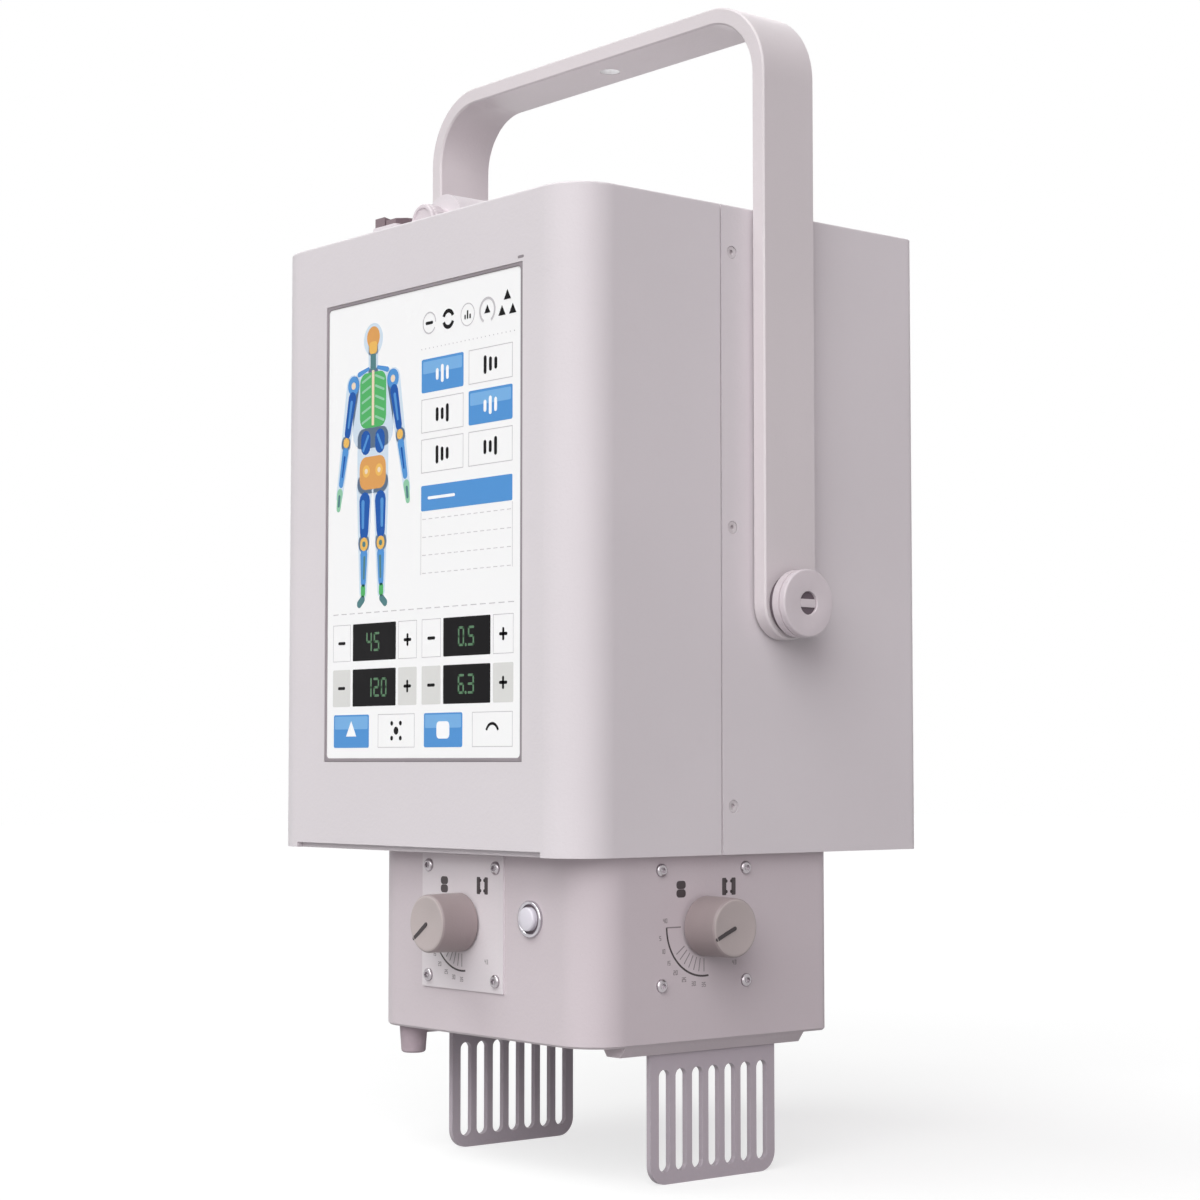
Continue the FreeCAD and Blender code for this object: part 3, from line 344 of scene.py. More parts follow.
def turned(profile, spot, outwards, sides=64, shape=None):
    """A turned piece: radius and height along its profile, swept once round its axis.

    point = spot + r cos(a) right + r sin(a) up + h outwards, with r times shape(a) for the
    profile's points whose third number is 1, such as the walls of a socket that isn't round.
    """
    outline = np.array([(p + (0,))[:3] for p in profile], float)
    angle = np.arange(sides) * 2 * np.pi / sides
    form = shape(angle) if shape else np.ones(sides)
    radius = outline[:, :1] * (1 + outline[:, 2:] * (form[None, :] - 1))
    right, up, out = basis(outwards)
    points = (
        np.array(spot)
        + (radius * np.cos(angle))[..., None] * right
        + (radius * np.sin(angle))[..., None] * up
        + outline[:, 1, None, None] * out)
    return points.reshape(-1, 3), surface_faces(len(outline), sides)


def joined(pieces):
    """Points and faces of several pieces as one mesh."""
    points, faces, count = [], [], 0
    for some_points, some_faces in pieces:
        points.append(some_points)
        faces += [tuple(int(i) + count for i in face) for face in some_faces]
        count += len(some_points)
    return np.concatenate(points).tolist(), faces


def hexagon(angle):
    """Distance from the middle to a hexagon's side, over its corner radius."""
    turn = np.mod(angle, np.pi / 3) - np.pi / 6
    return math.cos(math.pi / 6) / np.cos(turn)


def arc(centre_r, centre_h, radius, start, end, steps=6):
    """Points of a rounded rim in a profile, by angles in degrees from the radius direction."""
    a = np.radians(np.linspace(start, end, steps))
    points = np.stack([centre_r + radius * np.cos(a), centre_h + radius * np.sin(a)], axis=1)
    return [tuple(point) for point in points.tolist()]


# Thin flat shapes: the display's picture and the printed scales

class Panel:
    """A flat face that thin shapes lie on. Sizes in millimetres from its own corner or centre."""

    def __init__(self, origin, outwards):
        self.origin = np.array(origin, float)
        self.right, self.up, self.out = basis(outwards)
        self.inks = {}

    def add(self, ink, outline, layer=0):
        """One flat shape by its outline, counterclockwise as seen from outside."""
        self.inks.setdefault(ink, []).append((np.array(outline, float), layer))

    def build(self, prefix, finishes, slot, depth=0.05, step=0.025):
        """One mesh per ink: each outline becomes a thin closed slab at its layer."""
        for ink, shapes in self.inks.items():
            pieces = []
            for outline, layer in shapes:
                n = len(outline)
                flat = self.origin + MM * (outline[:, :1] * self.right + outline[:, 1:] * self.up)
                front = flat + MM * (depth + layer * step) * self.out
                faces = [tuple(range(n)), tuple(range(2 * n - 1, n - 1, -1))]
                faces += [(i, n + i, n + (i + 1) % n, (i + 1) % n) for i in range(n)]
                pieces.append((np.concatenate([front, flat]), faces))
            mesh_object(prefix + ink, *joined(pieces), finishes[ink], slot, smooth=0)


def polar(x, y, radius, start, end, steps):
    """Points along a circle's arc, by angles in degrees."""
    a = np.radians(np.linspace(start, end, steps))
    return np.stack([x + radius * np.cos(a), y + radius * np.sin(a)], axis=1)


def at_angle(x, y, radius, turn):
    """One point of a circle, by its angle in degrees."""
    return polar(x, y, radius, turn, turn, 1)[0]


def triangle(x, y, radius):
    """A triangle that points up, by the radius to its corners."""
    return polar(x, y, radius, 90, 330, 3)


def disc(x, y, radius, steps=28):
    """A round spot."""
    return polar(x, y, radius, 0, 360 * (1 - 1 / steps), steps)


def block(x0, y0, x1, y1, corner=0.0):
    """A rectangle with round corners."""
    if corner <= 0:
        return np.array([(x0, y0), (x1, y0), (x1, y1), (x0, y1)])
    spots = [(x1, y0, -90), (x1, y1, 0), (x0, y1, 90), (x0, y0, 180)]
    inward = [(-1, 1), (-1, -1), (1, -1), (1, 1)]
    return np.concatenate([
        polar(x + sx * corner, y + sy * corner, corner, a, a + 90, 5)
        for (x, y, a), (sx, sy) in zip(spots, inward)])


def stroke(x0, y0, x1, y1, width, width_end=None):
    """A line with round ends, which may taper."""
    end = width if width_end is None else width_end
    a = math.degrees(math.atan2(y1 - y0, x1 - x0))
    return np.concatenate([
        polar(x1, y1, end / 2, a - 90, a + 90, 7), polar(x0, y0, width / 2, a + 90, a + 270, 7)])


def band(x, y, radius, width, start, end, steps=24):
    """Part of a ring."""
    outer = polar(x, y, radius + width / 2, start, end, steps)
    inner = polar(x, y, radius - width / 2, end, start, steps)
    return np.concatenate([outer, inner])


# Strokes of each digit on a field one wide and two high: x0, y0, x1, y1
BARS = {"a": (0, 2, 1, 2), "b": (1, 1, 1, 2), "c": (1, 0, 1, 1), "d": (0, 0, 1, 0),
        "e": (0, 0, 0, 1), "f": (0, 1, 0, 2), "g": (0, 1, 1, 1)}
DIGITS = {"0": "abcdef", "1": "bc", "2": "abged", "3": "abgcd", "4": "fgbc",
          "5": "afgcd", "6": "afgedc", "7": "abc", "8": "abcdefg", "9": "abcfgd"}


def number(panel, ink, text, x, y, height, layer=0, weight=0.14):
    """Plain digits from straight strokes, left to right from x."""
    size = height / 2
    thick, wide = height * weight, size * 0.9
    pitch, point_pitch = size * 1.55, size * 0.35
    for letter in text:
        if letter == ".":
            panel.add(ink, disc(x - size * 0.2, y, thick * 0.7, 8), layer)
            x += point_pitch
            continue
        for bar in DIGITS[letter]:
            x0, y0, x1, y1 = BARS[bar]
            panel.add(ink, stroke(
                x + x0 * wide, y + y0 * size, x + x1 * wide, y + y1 * size, thick), layer)
        x += pitch


def body_chart(face, mid=38):
    """A body in pale rounded shapes with plain coloured regions over it, from the head down."""
    face.add("shape", disc(mid, 203, 8))
    face.add("shape", stroke(mid, 200, mid, 186, 8))
    face.add("shape", block(mid - 17, 150, mid + 17, 189, 8))
    face.add("shape", block(mid - 13, 128, mid + 13, 160, 5))
    face.add("warm", disc(mid, 204, 5.4), 1)
    face.add("amber", block(mid - 3.4, 196, mid + 3.4, 202, 2), 2)
    face.add("teal", block(mid - 2.3, 188, mid + 2.3, 196, 1), 1)
    face.add("green", block(mid - 11, 160, mid + 11, 187, 5), 1)
    face.add("pale", block(mid - 1, 161, mid + 1, 188, 0.5), 2)

    def limb(side, ink, layer, x0, y0, x1, y1, width, width_end=None):
        """A stroke on one side of the body, by its distances from the middle."""
        face.add(ink, stroke(mid + side * x0, y0, mid + side * x1, y1, width, width_end), layer)

    def spot(side, ink, layer, x, y, radius):
        """A disc on one side of the body, by its distance from the middle."""
        face.add(ink, disc(mid + side * x, y, radius), layer)

    for rib in range(5):
        height = 164 + 5 * rib
        for side in (-1, 1):
            limb(side, "mint", 2, 2.2, height + 1.2, 9, height - 1.2, 1.2)
    for side in (-1, 1):
        limb(side, "deep", 1, 6, 155, 6, 151, 8)
        limb(side, "blue", 2, 4, 156, 8, 149.5, 1.6)
    face.add("warm", block(mid - 11, 130, mid + 11, 146, 5), 1)
    for side in (-1, 1):
        spot(side, "amber", 2, 5.4, 139, 3)
        spot(side, "pale", 3, 5.4, 139, 1.3)
        # Arm from the shoulder to the hand
        limb(side, "shape", 0, 17, 182, 23, 154, 11, 8)
        limb(side, "shape", 0, 23, 154, 28.5, 128, 8, 5.4)
        spot(side, "blue", 1, 16.6, 182, 4.8)
        spot(side, "pale", 2, 16.6, 182, 1.8)
        limb(side, "blue", 1, 12, 187, 4, 189, 2.6, 1.8)
        limb(side, "deep", 2, 17.6, 176, 21.6, 159, 6.4, 5)
        limb(side, "blue", 3, 18.2, 174, 20.8, 162, 2, 1.4)
        spot(side, "amber", 3, 22.6, 154.5, 2.5)
        limb(side, "blue", 1, 23.4, 150, 27, 134.5, 5.2, 3.8)
        limb(side, "deep", 2, 24, 147.5, 26, 138, 1.5, 1)
        limb(side, "mint", 1, 28, 130, 29.2, 122.5, 4.8, 3.4)
        limb(side, "teal", 2, 28.4, 128.4, 29, 124, 1.8)
        # Leg from the hip to the foot
        limb(side, "shape", 0, 7, 132, 7.2, 104, 13, 9.5)
        limb(side, "shape", 0, 7.2, 104, 7.6, 80, 9.5, 6)
        limb(side, "deep", 1, 6.6, 124.5, 7, 109.5, 9, 7)
        limb(side, "blue", 2, 8, 124, 8, 112, 2.6, 2)
        spot(side, "amber", 2, 7, 103.6, 3.3)
        spot(side, "teal", 3, 7, 103.6, 1.4)
        limb(side, "blue", 1, 7.1, 98.4, 7.4, 85, 6, 4.2)
        limb(side, "teal", 2, 6.6, 97, 7, 87, 1.7, 1.3)
        limb(side, "green", 1, 7.6, 82.4, 7.6, 79.6, 3.6)
        limb(side, "teal", 1, 8, 76.8, 10.8, 74.6, 3.8)


def top_signs(face):
    """Five signs in a row over a dotted rule."""
    row = 205
    minus, turns, bars, dial, trio = 84, 99, 114, 129, 144
    face.add("line", band(minus, row, 5, 0.7, 0, 330))
    face.add("black", stroke(minus - 2.2, row, minus + 2.2, row, 1.5), 1)
    for start in (20, 200):
        face.add("black", band(turns, row, 3.8, 1.9, start, start + 140), 1)
    for start in (0, 180):
        face.add("line", band(bars, row, 5.2, 0.5, start, start + 180))
    for offset in (-1.9, 0, 1.9):
        x, top = bars + offset, row + 1.6 - abs(offset)
        face.add("black", stroke(x, row - 1.6, x, top, 1), 1)
    face.add("line", band(dial, row, 5.6, 1.2, -60, 240))
    face.add("black", triangle(dial, row, 2.6), 1)
    for turn in (0, 120, 240):
        x, y = at_angle(trio, row, 4.6, turn + 90)
        face.add("black", polar(x, y, 3.1, turn - 30, turn + 210, 3), 1)
    for step in range(24):
        face.add("line", disc(78 + step * 3.1, 193, 0.32, 8))


def outlined(face, x0, y0, x1, y1, width):
    """The four sides of a rectangle as thin lines."""
    for side in (
            block(x0, y0, x1, y0 + width), block(x0, y1 - width, x1, y1),
            block(x0, y0 + width, x0 + width, y1 - width),
            block(x1 - width, y0 + width, x1, y1 - width)):
        face.add("line", side)


def choices(face):
    """Six choices in two columns, two of them lit, and a list with one lit row below."""
    wide, tall = 33, 16
    for row in range(3):
        for column in range(2):
            x, y = 78 + column * 37, 172 - row * 19
            lit = (row, column) in ((0, 0), (1, 1))
            if lit:
                face.add("blue", block(x, y, x + wide, y + tall, 1))
                face.add("sky", block(x + 1.2, y + 9, x + wide - 1.2, y + tall - 1.2, 0.8), 1)
            else:
                outlined(face, x, y, x + wide, y + tall, 0.35)
            for mark in range(3):
                reach = (3.5, 6.5, 4.5)[(mark + row * 2 + column) % 3] / 2
                across, middle_y = x + 12.5 + mark * 4, y + tall / 2
                face.add("white" if lit else "black", stroke(
                    across, middle_y - reach, across, middle_y + reach, 2.1), 2)

    face.add("blue", block(78, 116, 148, 128, 0.8))
    face.add("white", stroke(84, 122, 104, 122, 1.4), 1)
    for row in range(4):
        y = 112 - row * 8.5
        for dash in range(14):
            face.add("line", block(79 + dash * 5, y, 82 + dash * 5, y + 0.3))
    for x in (77.8, 147.9):
        face.add("line", block(x, 86, x + 0.3, 115.5))
    for dash in range(21):
        face.add("line", block(5 + dash * 7, 70, 9.4 + dash * 7, 70.4))


def readouts(face):
    """Two rows of two dark readouts, each between its minus and plus."""
    values = [["45", "0.5"], ["120", "6.3"]]
    wide, tall = 15, 18
    for row in range(2):
        for column in range(2):
            x, y = 5 + column * 74, 47 - row * 22
            face.add("black", block(x + 17, y, x + 53, y + tall, 0.6))
            number(face, "readout", values[row][column], x + 29, y + 5, 8, 1)
            for x0, plus in ((x, False), (x + 55, True)):
                if row == 0:
                    outlined(face, x0, y, x0 + wide, y + tall, 0.3)
                else:
                    face.add("button", block(x0, y, x0 + wide, y + tall, 0.8))
                across, up = x0 + wide / 2, y + tall / 2
                face.add("black", stroke(across - 2.3, up, across + 2.3, up, 1.5), 1)
                if plus:
                    face.add("black", stroke(across, up - 2.3, across, up + 2.3, 1.5), 1)


def foot_row(face):
    """Two lit and two plain buttons along the foot, each with one sign."""
    low, high = 5, 21
    for index in range(4):
        x = 6 + index * 37.5
        if index % 2 == 0:
            face.add("blue", block(x, low, x + 30, high, 1))
            face.add("sky", block(x + 1, 14, x + 29, high - 0.8, 0.7), 1)
        else:
            outlined(face, x, low, x + 30, high, 0.3)
    face.add("white", triangle(21, 13, 5), 2)
    for turn in (45, 135, 225, 315):
        face.add("black", disc(*at_angle(58.5, 13, 5, turn), 1.1), 1)
    face.add("black", disc(58.5, 13, 1.9), 1)
    face.add("white", block(91, 9, 101, 17, 2), 2)
    face.add("black", band(133.5, 11, 4.6, 1.3, 20, 160), 1)


def display_picture():
    """A made-up control screen: a body chart on the left, buttons and readouts right and below.

    Its places and sizes are in millimetres from the glass's lower left corner.
    """
    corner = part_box("display_glass")[0]
    face = Panel(corner, (0, -1, 0))
    for part in (body_chart, top_signs, choices, readouts, foot_row):
        part(face)
    tones = {
        "line": linear(196, 192, 196), "blue": linear(84, 148, 212), "deep": linear(30, 88, 170),
        "shape": linear(208, 222, 236), "sky": linear(122, 176, 226),
        "black": linear(14, 12, 15), "white": linear(250, 250, 252), "pale": linear(238, 216, 190),
        "warm": linear(222, 160, 92), "amber": linear(236, 186, 98), "teal": linear(84, 128, 132),
        "green": linear(84, 178, 104), "mint": linear(146, 200, 168), "button": linear(219, 218, 216),
        "readout": linear(96, 132, 102)}
    finishes = {ink: lit_panel("display_" + ink, tone, 0.08) for ink, tone in tones.items()}
    face.build("screen_", finishes, "screen_glass")


def rounded_loop(low, high, corner, depth, steps=7):
    """Points round a rectangle with round corners on the front face, at a depth along Y."""
    angle = np.radians(np.linspace(0, 90, steps))
    spots = [
        (high.x - corner, high.z - corner, 0), (low.x + corner, high.z - corner, 90),
        (low.x + corner, low.z + corner, 180), (high.x - corner, low.z + corner, 270)]
    return np.concatenate([
        np.stack([
            x + corner * np.cos(angle + math.radians(turn)), np.full(steps, depth),
            z + corner * np.sin(angle + math.radians(turn))], axis=1)
        for x, z, turn in spots])


def display_rim():
    """Slim frame round the glass, with round inner corners and a softened front."""
    low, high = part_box("display_frame")
    front, back = low.y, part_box("display_glass")[0].y
    width, lip = 1.7 * MM, 0.25 * MM
    outer, inner = 0.5 * MM, 2.2 * MM

    def ring(inset, corner, depth):
        shift = Vector((inset, 0, inset))
        return rounded_loop(low + shift, high - shift, corner, depth)

    rings = [
        ring(0, outer, back), ring(0, outer, front + lip), ring(lip, outer, front),
        ring(width - lip, inner + lip, front), ring(width, inner, front + lip),
        ring(width, inner, back), ring(0, outer, back)]
    points = np.concatenate(rings).tolist()
    faces = surface_faces(len(rings), len(rings[0])).tolist()
    made = mesh_object("display_rim", points, faces, RIM, "screen_frame")
    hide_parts("display_frame")


def field_scale(panel):
    """One field knob's print round its centre: an arc from 9 to 6 o'clock, ticks, numbers and signs."""
    reach, tick_start, tick_end, number_ring = 22.5, 14.8, 20.4, 26.4
    size, weight = 1.8, 0.17
    panel.add("ink", band(0, 0, reach, 0.9, 180, 277, 32))
    panel.add("soft", stroke(-reach, 0, -14.2, 0, 0.6))
    for step in range(7):
        turn = 216 + step * 9
        panel.add("soft", stroke(
            *at_angle(0, 0, tick_start, turn), *at_angle(0, 0, tick_end, turn), 0.5))
    for step, text in enumerate(("5", "10", "15", "20", "25", "30", "35")):
        x, y = at_angle(0, 0, number_ring, 190 + step * 13.4)
        number(panel, "soft", text, x - 0.75 * len(text), y - size / 2, size, 0, weight)
    number(panel, "soft", "40", -24.5, 2.2, size, 0, weight)
    number(panel, "soft", "43", 17.6, -18.2, size, 0, weight)
    # Narrow field: two squares. Wide field: two tall bars with spots on their inner sides
    for lift in (13.2, 17.0):
        panel.add("ink", block(-16.6, lift, -11.0, lift + 3.7, 1.5))
    for side in (-1, 1):
        bar = 15.5 + side * 2.9
        panel.add("ink", block(bar - 1.3, 13.4, bar + 1.3, 21.3, 0.5))
        for lift in (15.0, 19.8):
            panel.add("ink", disc(bar - side * 1.4, lift, 0.8, 10))


# Where the side field knob, its print and its screws stand along Y
SIDE_KNOB_Y = -23.8 * MM


def printed_scales():
    """The same print round both field knobs."""
    plate_low, plate_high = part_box("front_scale_plate")
    box_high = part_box("collimator_box")[1]
    x, _, z = middle(plate_low, plate_high)
    inks = {"ink": INK, "soft": PALE_INK}
    places = {
        "front_print_": ((x, plate_low.y, z), (0, -1, 0)),
        "side_print_": ((box_high.x, SIDE_KNOB_Y, z), (1, 0, 0))}
    for prefix, (spot, out) in places.items():
        panel = Panel(spot, out)
        field_scale(panel)
        panel.build(prefix, inks, "scale_plate", 0.03)


def knobs():
    """Two field knobs, each with a wall painted darker than its face as painted shade, a paler and
    slightly dished face and one pointer line.
    """
    plate_low, plate_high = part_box("front_scale_plate")
    box_low, box_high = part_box("collimator_box")
    x, _, z = middle(plate_low, plate_high)
    foot, length, radius = 1.6 * MM, 21.4 * MM, 13.6 * MM
    bevel, rim, split = 0.5 * MM, 1.5 * MM, 55
    rim_centre = (radius - 0.25 * MM - rim, length - rim)
    wall = [(0, foot), (radius - bevel, foot), (radius, foot + bevel)]
    wall += arc(*rim_centre, rim, 0, split, 5)
    wall += [(radius - rim, length - 1.2 * MM), (0, length - 1.2 * MM)]
    dish = [(0, length - 1.1 * MM), (radius - rim, length - 1.1 * MM)]
    dish += arc(*rim_centre, rim, split, 90, 4)
    dish += [
        (radius - 2.6 * MM, length - 0.1 * MM), (radius * 0.5, length - 0.3 * MM),
        (0, length - 0.35 * MM)]
    places = [
        ((x, box_low.y, z), (0, -1, 0), 216.7), ((box_high.x, SIDE_KNOB_Y, z), (1, 0, 0), 203.0)]
    bodies = [turned(wall, spot, out, 96) for spot, out, turn in places]
    made = mesh_object("field_knob_bodies", *joined(bodies), KNOB_WALL_PAINTED_SHADE, "knob_plastic")
    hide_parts("field_knobs")
    faces = [turned(dish, spot, out, 96) for spot, out, turn in places]
    mesh_object("field_knob_faces", *joined(faces), KNOB_FACE, "knob_plastic")
    for name, (spot, out, turn) in zip(("front", "side"), places):
        face = Panel(np.array(spot) + (length - 0.42 * MM) * np.array(out), out)
        near, far = at_angle(0, 0, 0.4, turn), at_angle(0, 0, 12.0, turn)
        face.add("pointer", stroke(*near, *far, 1.8))
        face.build(name + "_knob_", {"pointer": POINTER_INK}, "knob_plastic", 0.4)


def screw_head(spot, out, radius, height, socket):
    """A domed head with a six-sided socket."""
    dome = [
        (radius * math.sin(angle), height * (0.35 + 0.65 * math.cos(angle)))
        for angle in np.radians(np.linspace(90, 28, 7))]
    profile = [(0, 0), (radius, 0)] + dome
    profile += [
        (socket * 1.22, height), (socket, height - 0.12 * MM, 1), (socket, height * 0.3, 1),
        (0, height * 0.22)]
    return turned(profile, spot, out, 48, hexagon)


def screws():
    """Bright domed screws on both panels and under the guard plates; painted ones at the seam."""
    plate_low, plate_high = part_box("front_scale_plate")
    box_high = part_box("collimator_box")[1]
    x, _, z = middle(plate_low, plate_high)
    pitch = 51.5 * MM / 2
    corners = [(across, up) for across in (-pitch, pitch) for up in (-pitch, pitch)]
    radius, height, socket = 3.0 * MM, 1.9 * MM, 1.4 * MM
    heads = [
        screw_head((x + across, plate_low.y, z + up), (0, -1, 0), radius, height, socket)
        for across, up in corners]
    heads += [
        screw_head((box_high.x, SIDE_KNOB_Y + across, z + up), (1, 0, 0), radius, height, socket)
        for across, up in corners]
    made = mesh_object("panel_screw_heads", *joined(heads), STEEL, "bright_screw")
    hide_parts("panel_screws")

    low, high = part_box("guard_screws")
    radius, height, socket = 2.3 * MM, 1.6 * MM, 1.2 * MM
    heads = [
        screw_head((across, along, high.z), (0, 0, -1), radius, height, socket)
        for across in (low.x + radius, high.x - radius)
        for along in (low.y + radius, high.y - radius)]
    made = mesh_object("guard_screw_heads", *joined(heads), STEEL, "bright_screw")
    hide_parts("guard_screws")

    low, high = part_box("cover_screws")
    _, y, z = middle(low, high)
    radius, sunk, socket = 2.9 * MM, 1.5 * MM, 1.25 * MM
    profile = [
        (0, 0), (3.02 * MM, 0), (3.02 * MM, 1.3 * MM), (2.7 * MM, 1.72 * MM), (1.5 * MM, 1.75 * MM),
        (socket, 1.6 * MM, 1), (socket, 0.4 * MM, 1), (0, 0.3 * MM)]
    heads = [
        turned(profile, (wall - side * sunk, y, up), (side, 0, 0), 48, hexagon)
        for side, wall in ((-1, low.x), (1, high.x))
        for up in (low.z + radius, z, high.z - radius)]
    made = mesh_object("cover_screw_heads", *joined(heads), PAINT_SCREW, "screw_paint")
    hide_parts("cover_screws")


def pivot_caps():
    """Caps with a crease round the wall, a dark ring behind them and a dark disc on the recess floor,
    both painted shade, and a bar across the recess.
    """
    low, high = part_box("pivot_caps")
    _, y, z = middle(low, high)
    radius, depth, rim, foot = 15.8 * MM, 11.7 * MM, 0.9 * MM, 0.6 * MM
    wall = radius - 0.1 * MM
    collar, bore, step = 11.0 * MM, 5.05 * MM, 3.2 * MM
    recess, floor, lip = 5.4 * MM, 9.1 * MM, 0.4 * MM
    crease, inset = depth - 3.7 * MM, 0.8 * MM
    cap = [(bore, 0), (collar, 0), (collar, step)]
    cap += arc(wall - foot, step + foot, foot, -90, 0, 4)
    cap += [
        (wall, crease - 0.5 * MM), (wall - inset, crease - 0.3 * MM),
        (wall - inset, crease + 0.3 * MM), (radius, crease + 0.5 * MM)]
    cap += arc(radius - rim, depth - rim, rim, 0, 90, 7)
    cap += arc(recess + lip, depth - lip, lip, 90, 180, 5)
    cap += [(recess, floor), (bore, floor), (bore, 0)]

    # Painted shade: a dark disc on the recess floor and a dark ring between the strap and the cap's
    # flange.
    shade_floor = [(0, 0), (5.35 * MM, 0), (5.35 * MM, 1.4 * MM), (0, 1.4 * MM)]
    shade_ring_outer, shade_ring_inner, play = 14.1 * MM, 12.1 * MM, 0.3 * MM
    ring = [(shade_ring_inner, play), (shade_ring_outer, play), (shade_ring_outer, step), (shade_ring_inner, step), (shade_ring_inner, play)]
    bar = [(0, 0), (5.2 * MM, 0), (5.2 * MM, 1.9 * MM), (4.8 * MM, 2.3 * MM), (0, 2.5 * MM)]
    bar_half = 1.9 * MM

    caps, painted_shades, bars = [], [], []
    for side, base in ((-1, low.x + depth), (1, high.x - depth)):
        spot, out = (base, y, z), (side, 0, 0)
        inside = (base + side * (floor - 0.2 * MM), y, z)
        caps.append(turned(cap, spot, out, 96))
        painted_shades.append(turned(shade_floor, inside, out, 48))
        painted_shades.append(turned(ring, spot, out, 64))
        points, faces = turned(bar, inside, out, 48)
        points[:, 2] = z + np.clip(points[:, 2] - z, -bar_half, bar_half)
        bars.append((points, faces))
    made = mesh_object("pivot_cap_turnings", *joined(caps), GREY_PLASTIC, "cap_plastic")
    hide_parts("pivot_caps")
    mesh_object("pivot_painted_shade_pieces", *joined(painted_shades), SEAL_AND_PAINTED_SHADE, "cap_plastic")
    mesh_object("pivot_bars", *joined(bars), GREY_PLASTIC, "cap_plastic")


def lamp_button():
    """Glossy push button, a dark soft seal round it that also serves as painted shade in the gap, and a
    polished ring.
    """
    low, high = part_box("lamp_button_ring")
    x, _, z = middle(low, high)
    spot, out = (x, high.y, z), (0, -1, 0)
    outer, inner, height, edge = 8.3 * MM, 6.6 * MM, 1.8 * MM, 0.8 * MM
    profile = [(inner, 0), (outer, 0), (outer, 0.4 * MM)]
    profile += arc(outer - edge, height - edge, edge, 0, 90, 7)
    profile += [(inner + 0.5 * MM, height - 0.1 * MM), (inner, height - 0.6 * MM), (inner, 0)]
    made = mesh_object("lamp_ring", *joined([turned(profile, spot, out, 72)]), CHROME, "button_chrome")
    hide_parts("lamp_button_ring")

    radius, length, edge = 5.4 * MM, 3.8 * MM, 1.0 * MM
    profile = [(0, 0), (radius, 0)]
    profile += arc(radius - edge, length - 1.25 * MM, edge, 0, 75, 7)
    profile += [(radius * 0.5, length - 0.1 * MM), (0, length)]
    made = mesh_object("lamp_push", *joined([turned(profile, spot, out, 72)]), BUTTON, "button_white")
    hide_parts("lamp_button")

    # The dark seal in the gap round the push button is a seal and also painted shade.
    top = 0.75 * MM
    profile = [
        (radius, 0), (inner, 0), (inner, 0.5 * MM), (inner - 0.4 * MM, top), (radius, top), (radius, 0)]
    mesh_object("lamp_seal_and_shade", *joined([turned(profile, spot, out, 72)]), SEAL_AND_PAINTED_SHADE, "button_chrome")


def peg():
    """Tapered foot with a rounded tip."""
    low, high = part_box("corner_peg")
    x, y, _ = middle(low, high)
    root, tip, height, edge = 6.7 * MM, 5.9 * MM, 13.3 * MM, 1.6 * MM
    profile = [(0, 0), (root, 0), (root, 1 * MM)]
    profile += arc(tip - edge, height - edge, edge, 8, 90, 7)
    profile += [(0, height)]
    pieces = [turned(profile, (x, y, high.z), (0, 0, -1), 64)]
    made = mesh_object("peg_foot", *joined(pieces), PEG, "peg_plastic")
    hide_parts("corner_peg")


def grip_lining_painted_highlight():
    """Thin lining of the hole through the grip, white as a painted highlight in the hole."""
    low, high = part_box("handle_strap")
    x, y, _ = middle(low, high)
    outer, inner, start, end = 5.23 * MM, 5.0 * MM, 0.15 * MM, 7.85 * MM
    profile = [(outer, start), (outer, end), (inner, end), (inner, start), (outer, start)]
    pieces = [turned(profile, (x, y, high.z), (0, 0, -1), 64)]
    mesh_object("grip_lining_painted_highlight", *joined(pieces), LINING_PAINTED_HIGHLIGHT, "paint_handle", GRIP)


def round_socket():
    """Round connector under its ribbed dust cap."""
    low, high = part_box("round_socket")
    x, _, z = middle(low, high)
    radius, length, shank, neck, edge = 9.5 * MM, 13.5 * MM, 8.3 * MM, 5 * MM, 1.0 * MM
    ridges, ridge_depth = 30, 0.035

    def ribs(angle):
        return 1 - ridge_depth * (0.5 + 0.5 * np.cos(angle * ridges))

    profile = [
        (0, 0), (shank, 0), (shank, neck), (radius - 0.6 * MM, neck), (radius, neck + 0.6 * MM, 1),
        (radius, length - 2.6 * MM, 1), (radius - 0.5 * MM, length - 2.2 * MM)]
    profile += arc(radius - 1.3 * MM, length - edge, edge, 0, 90, 6)
    profile += [
        (radius - 2.2 * MM, length), (radius - 2.6 * MM, length - 0.7 * MM),
        (2 * MM, length - 0.7 * MM), (1.6 * MM, length - 0.3 * MM), (0, length - 0.2 * MM)]
    pieces = [turned(profile, (x, high.y, z), (0, -1, 0), 240, ribs)]
    made = mesh_object("socket_barrel", *joined(pieces), GREY_PLASTIC, "socket_plastic")
    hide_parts("round_socket")


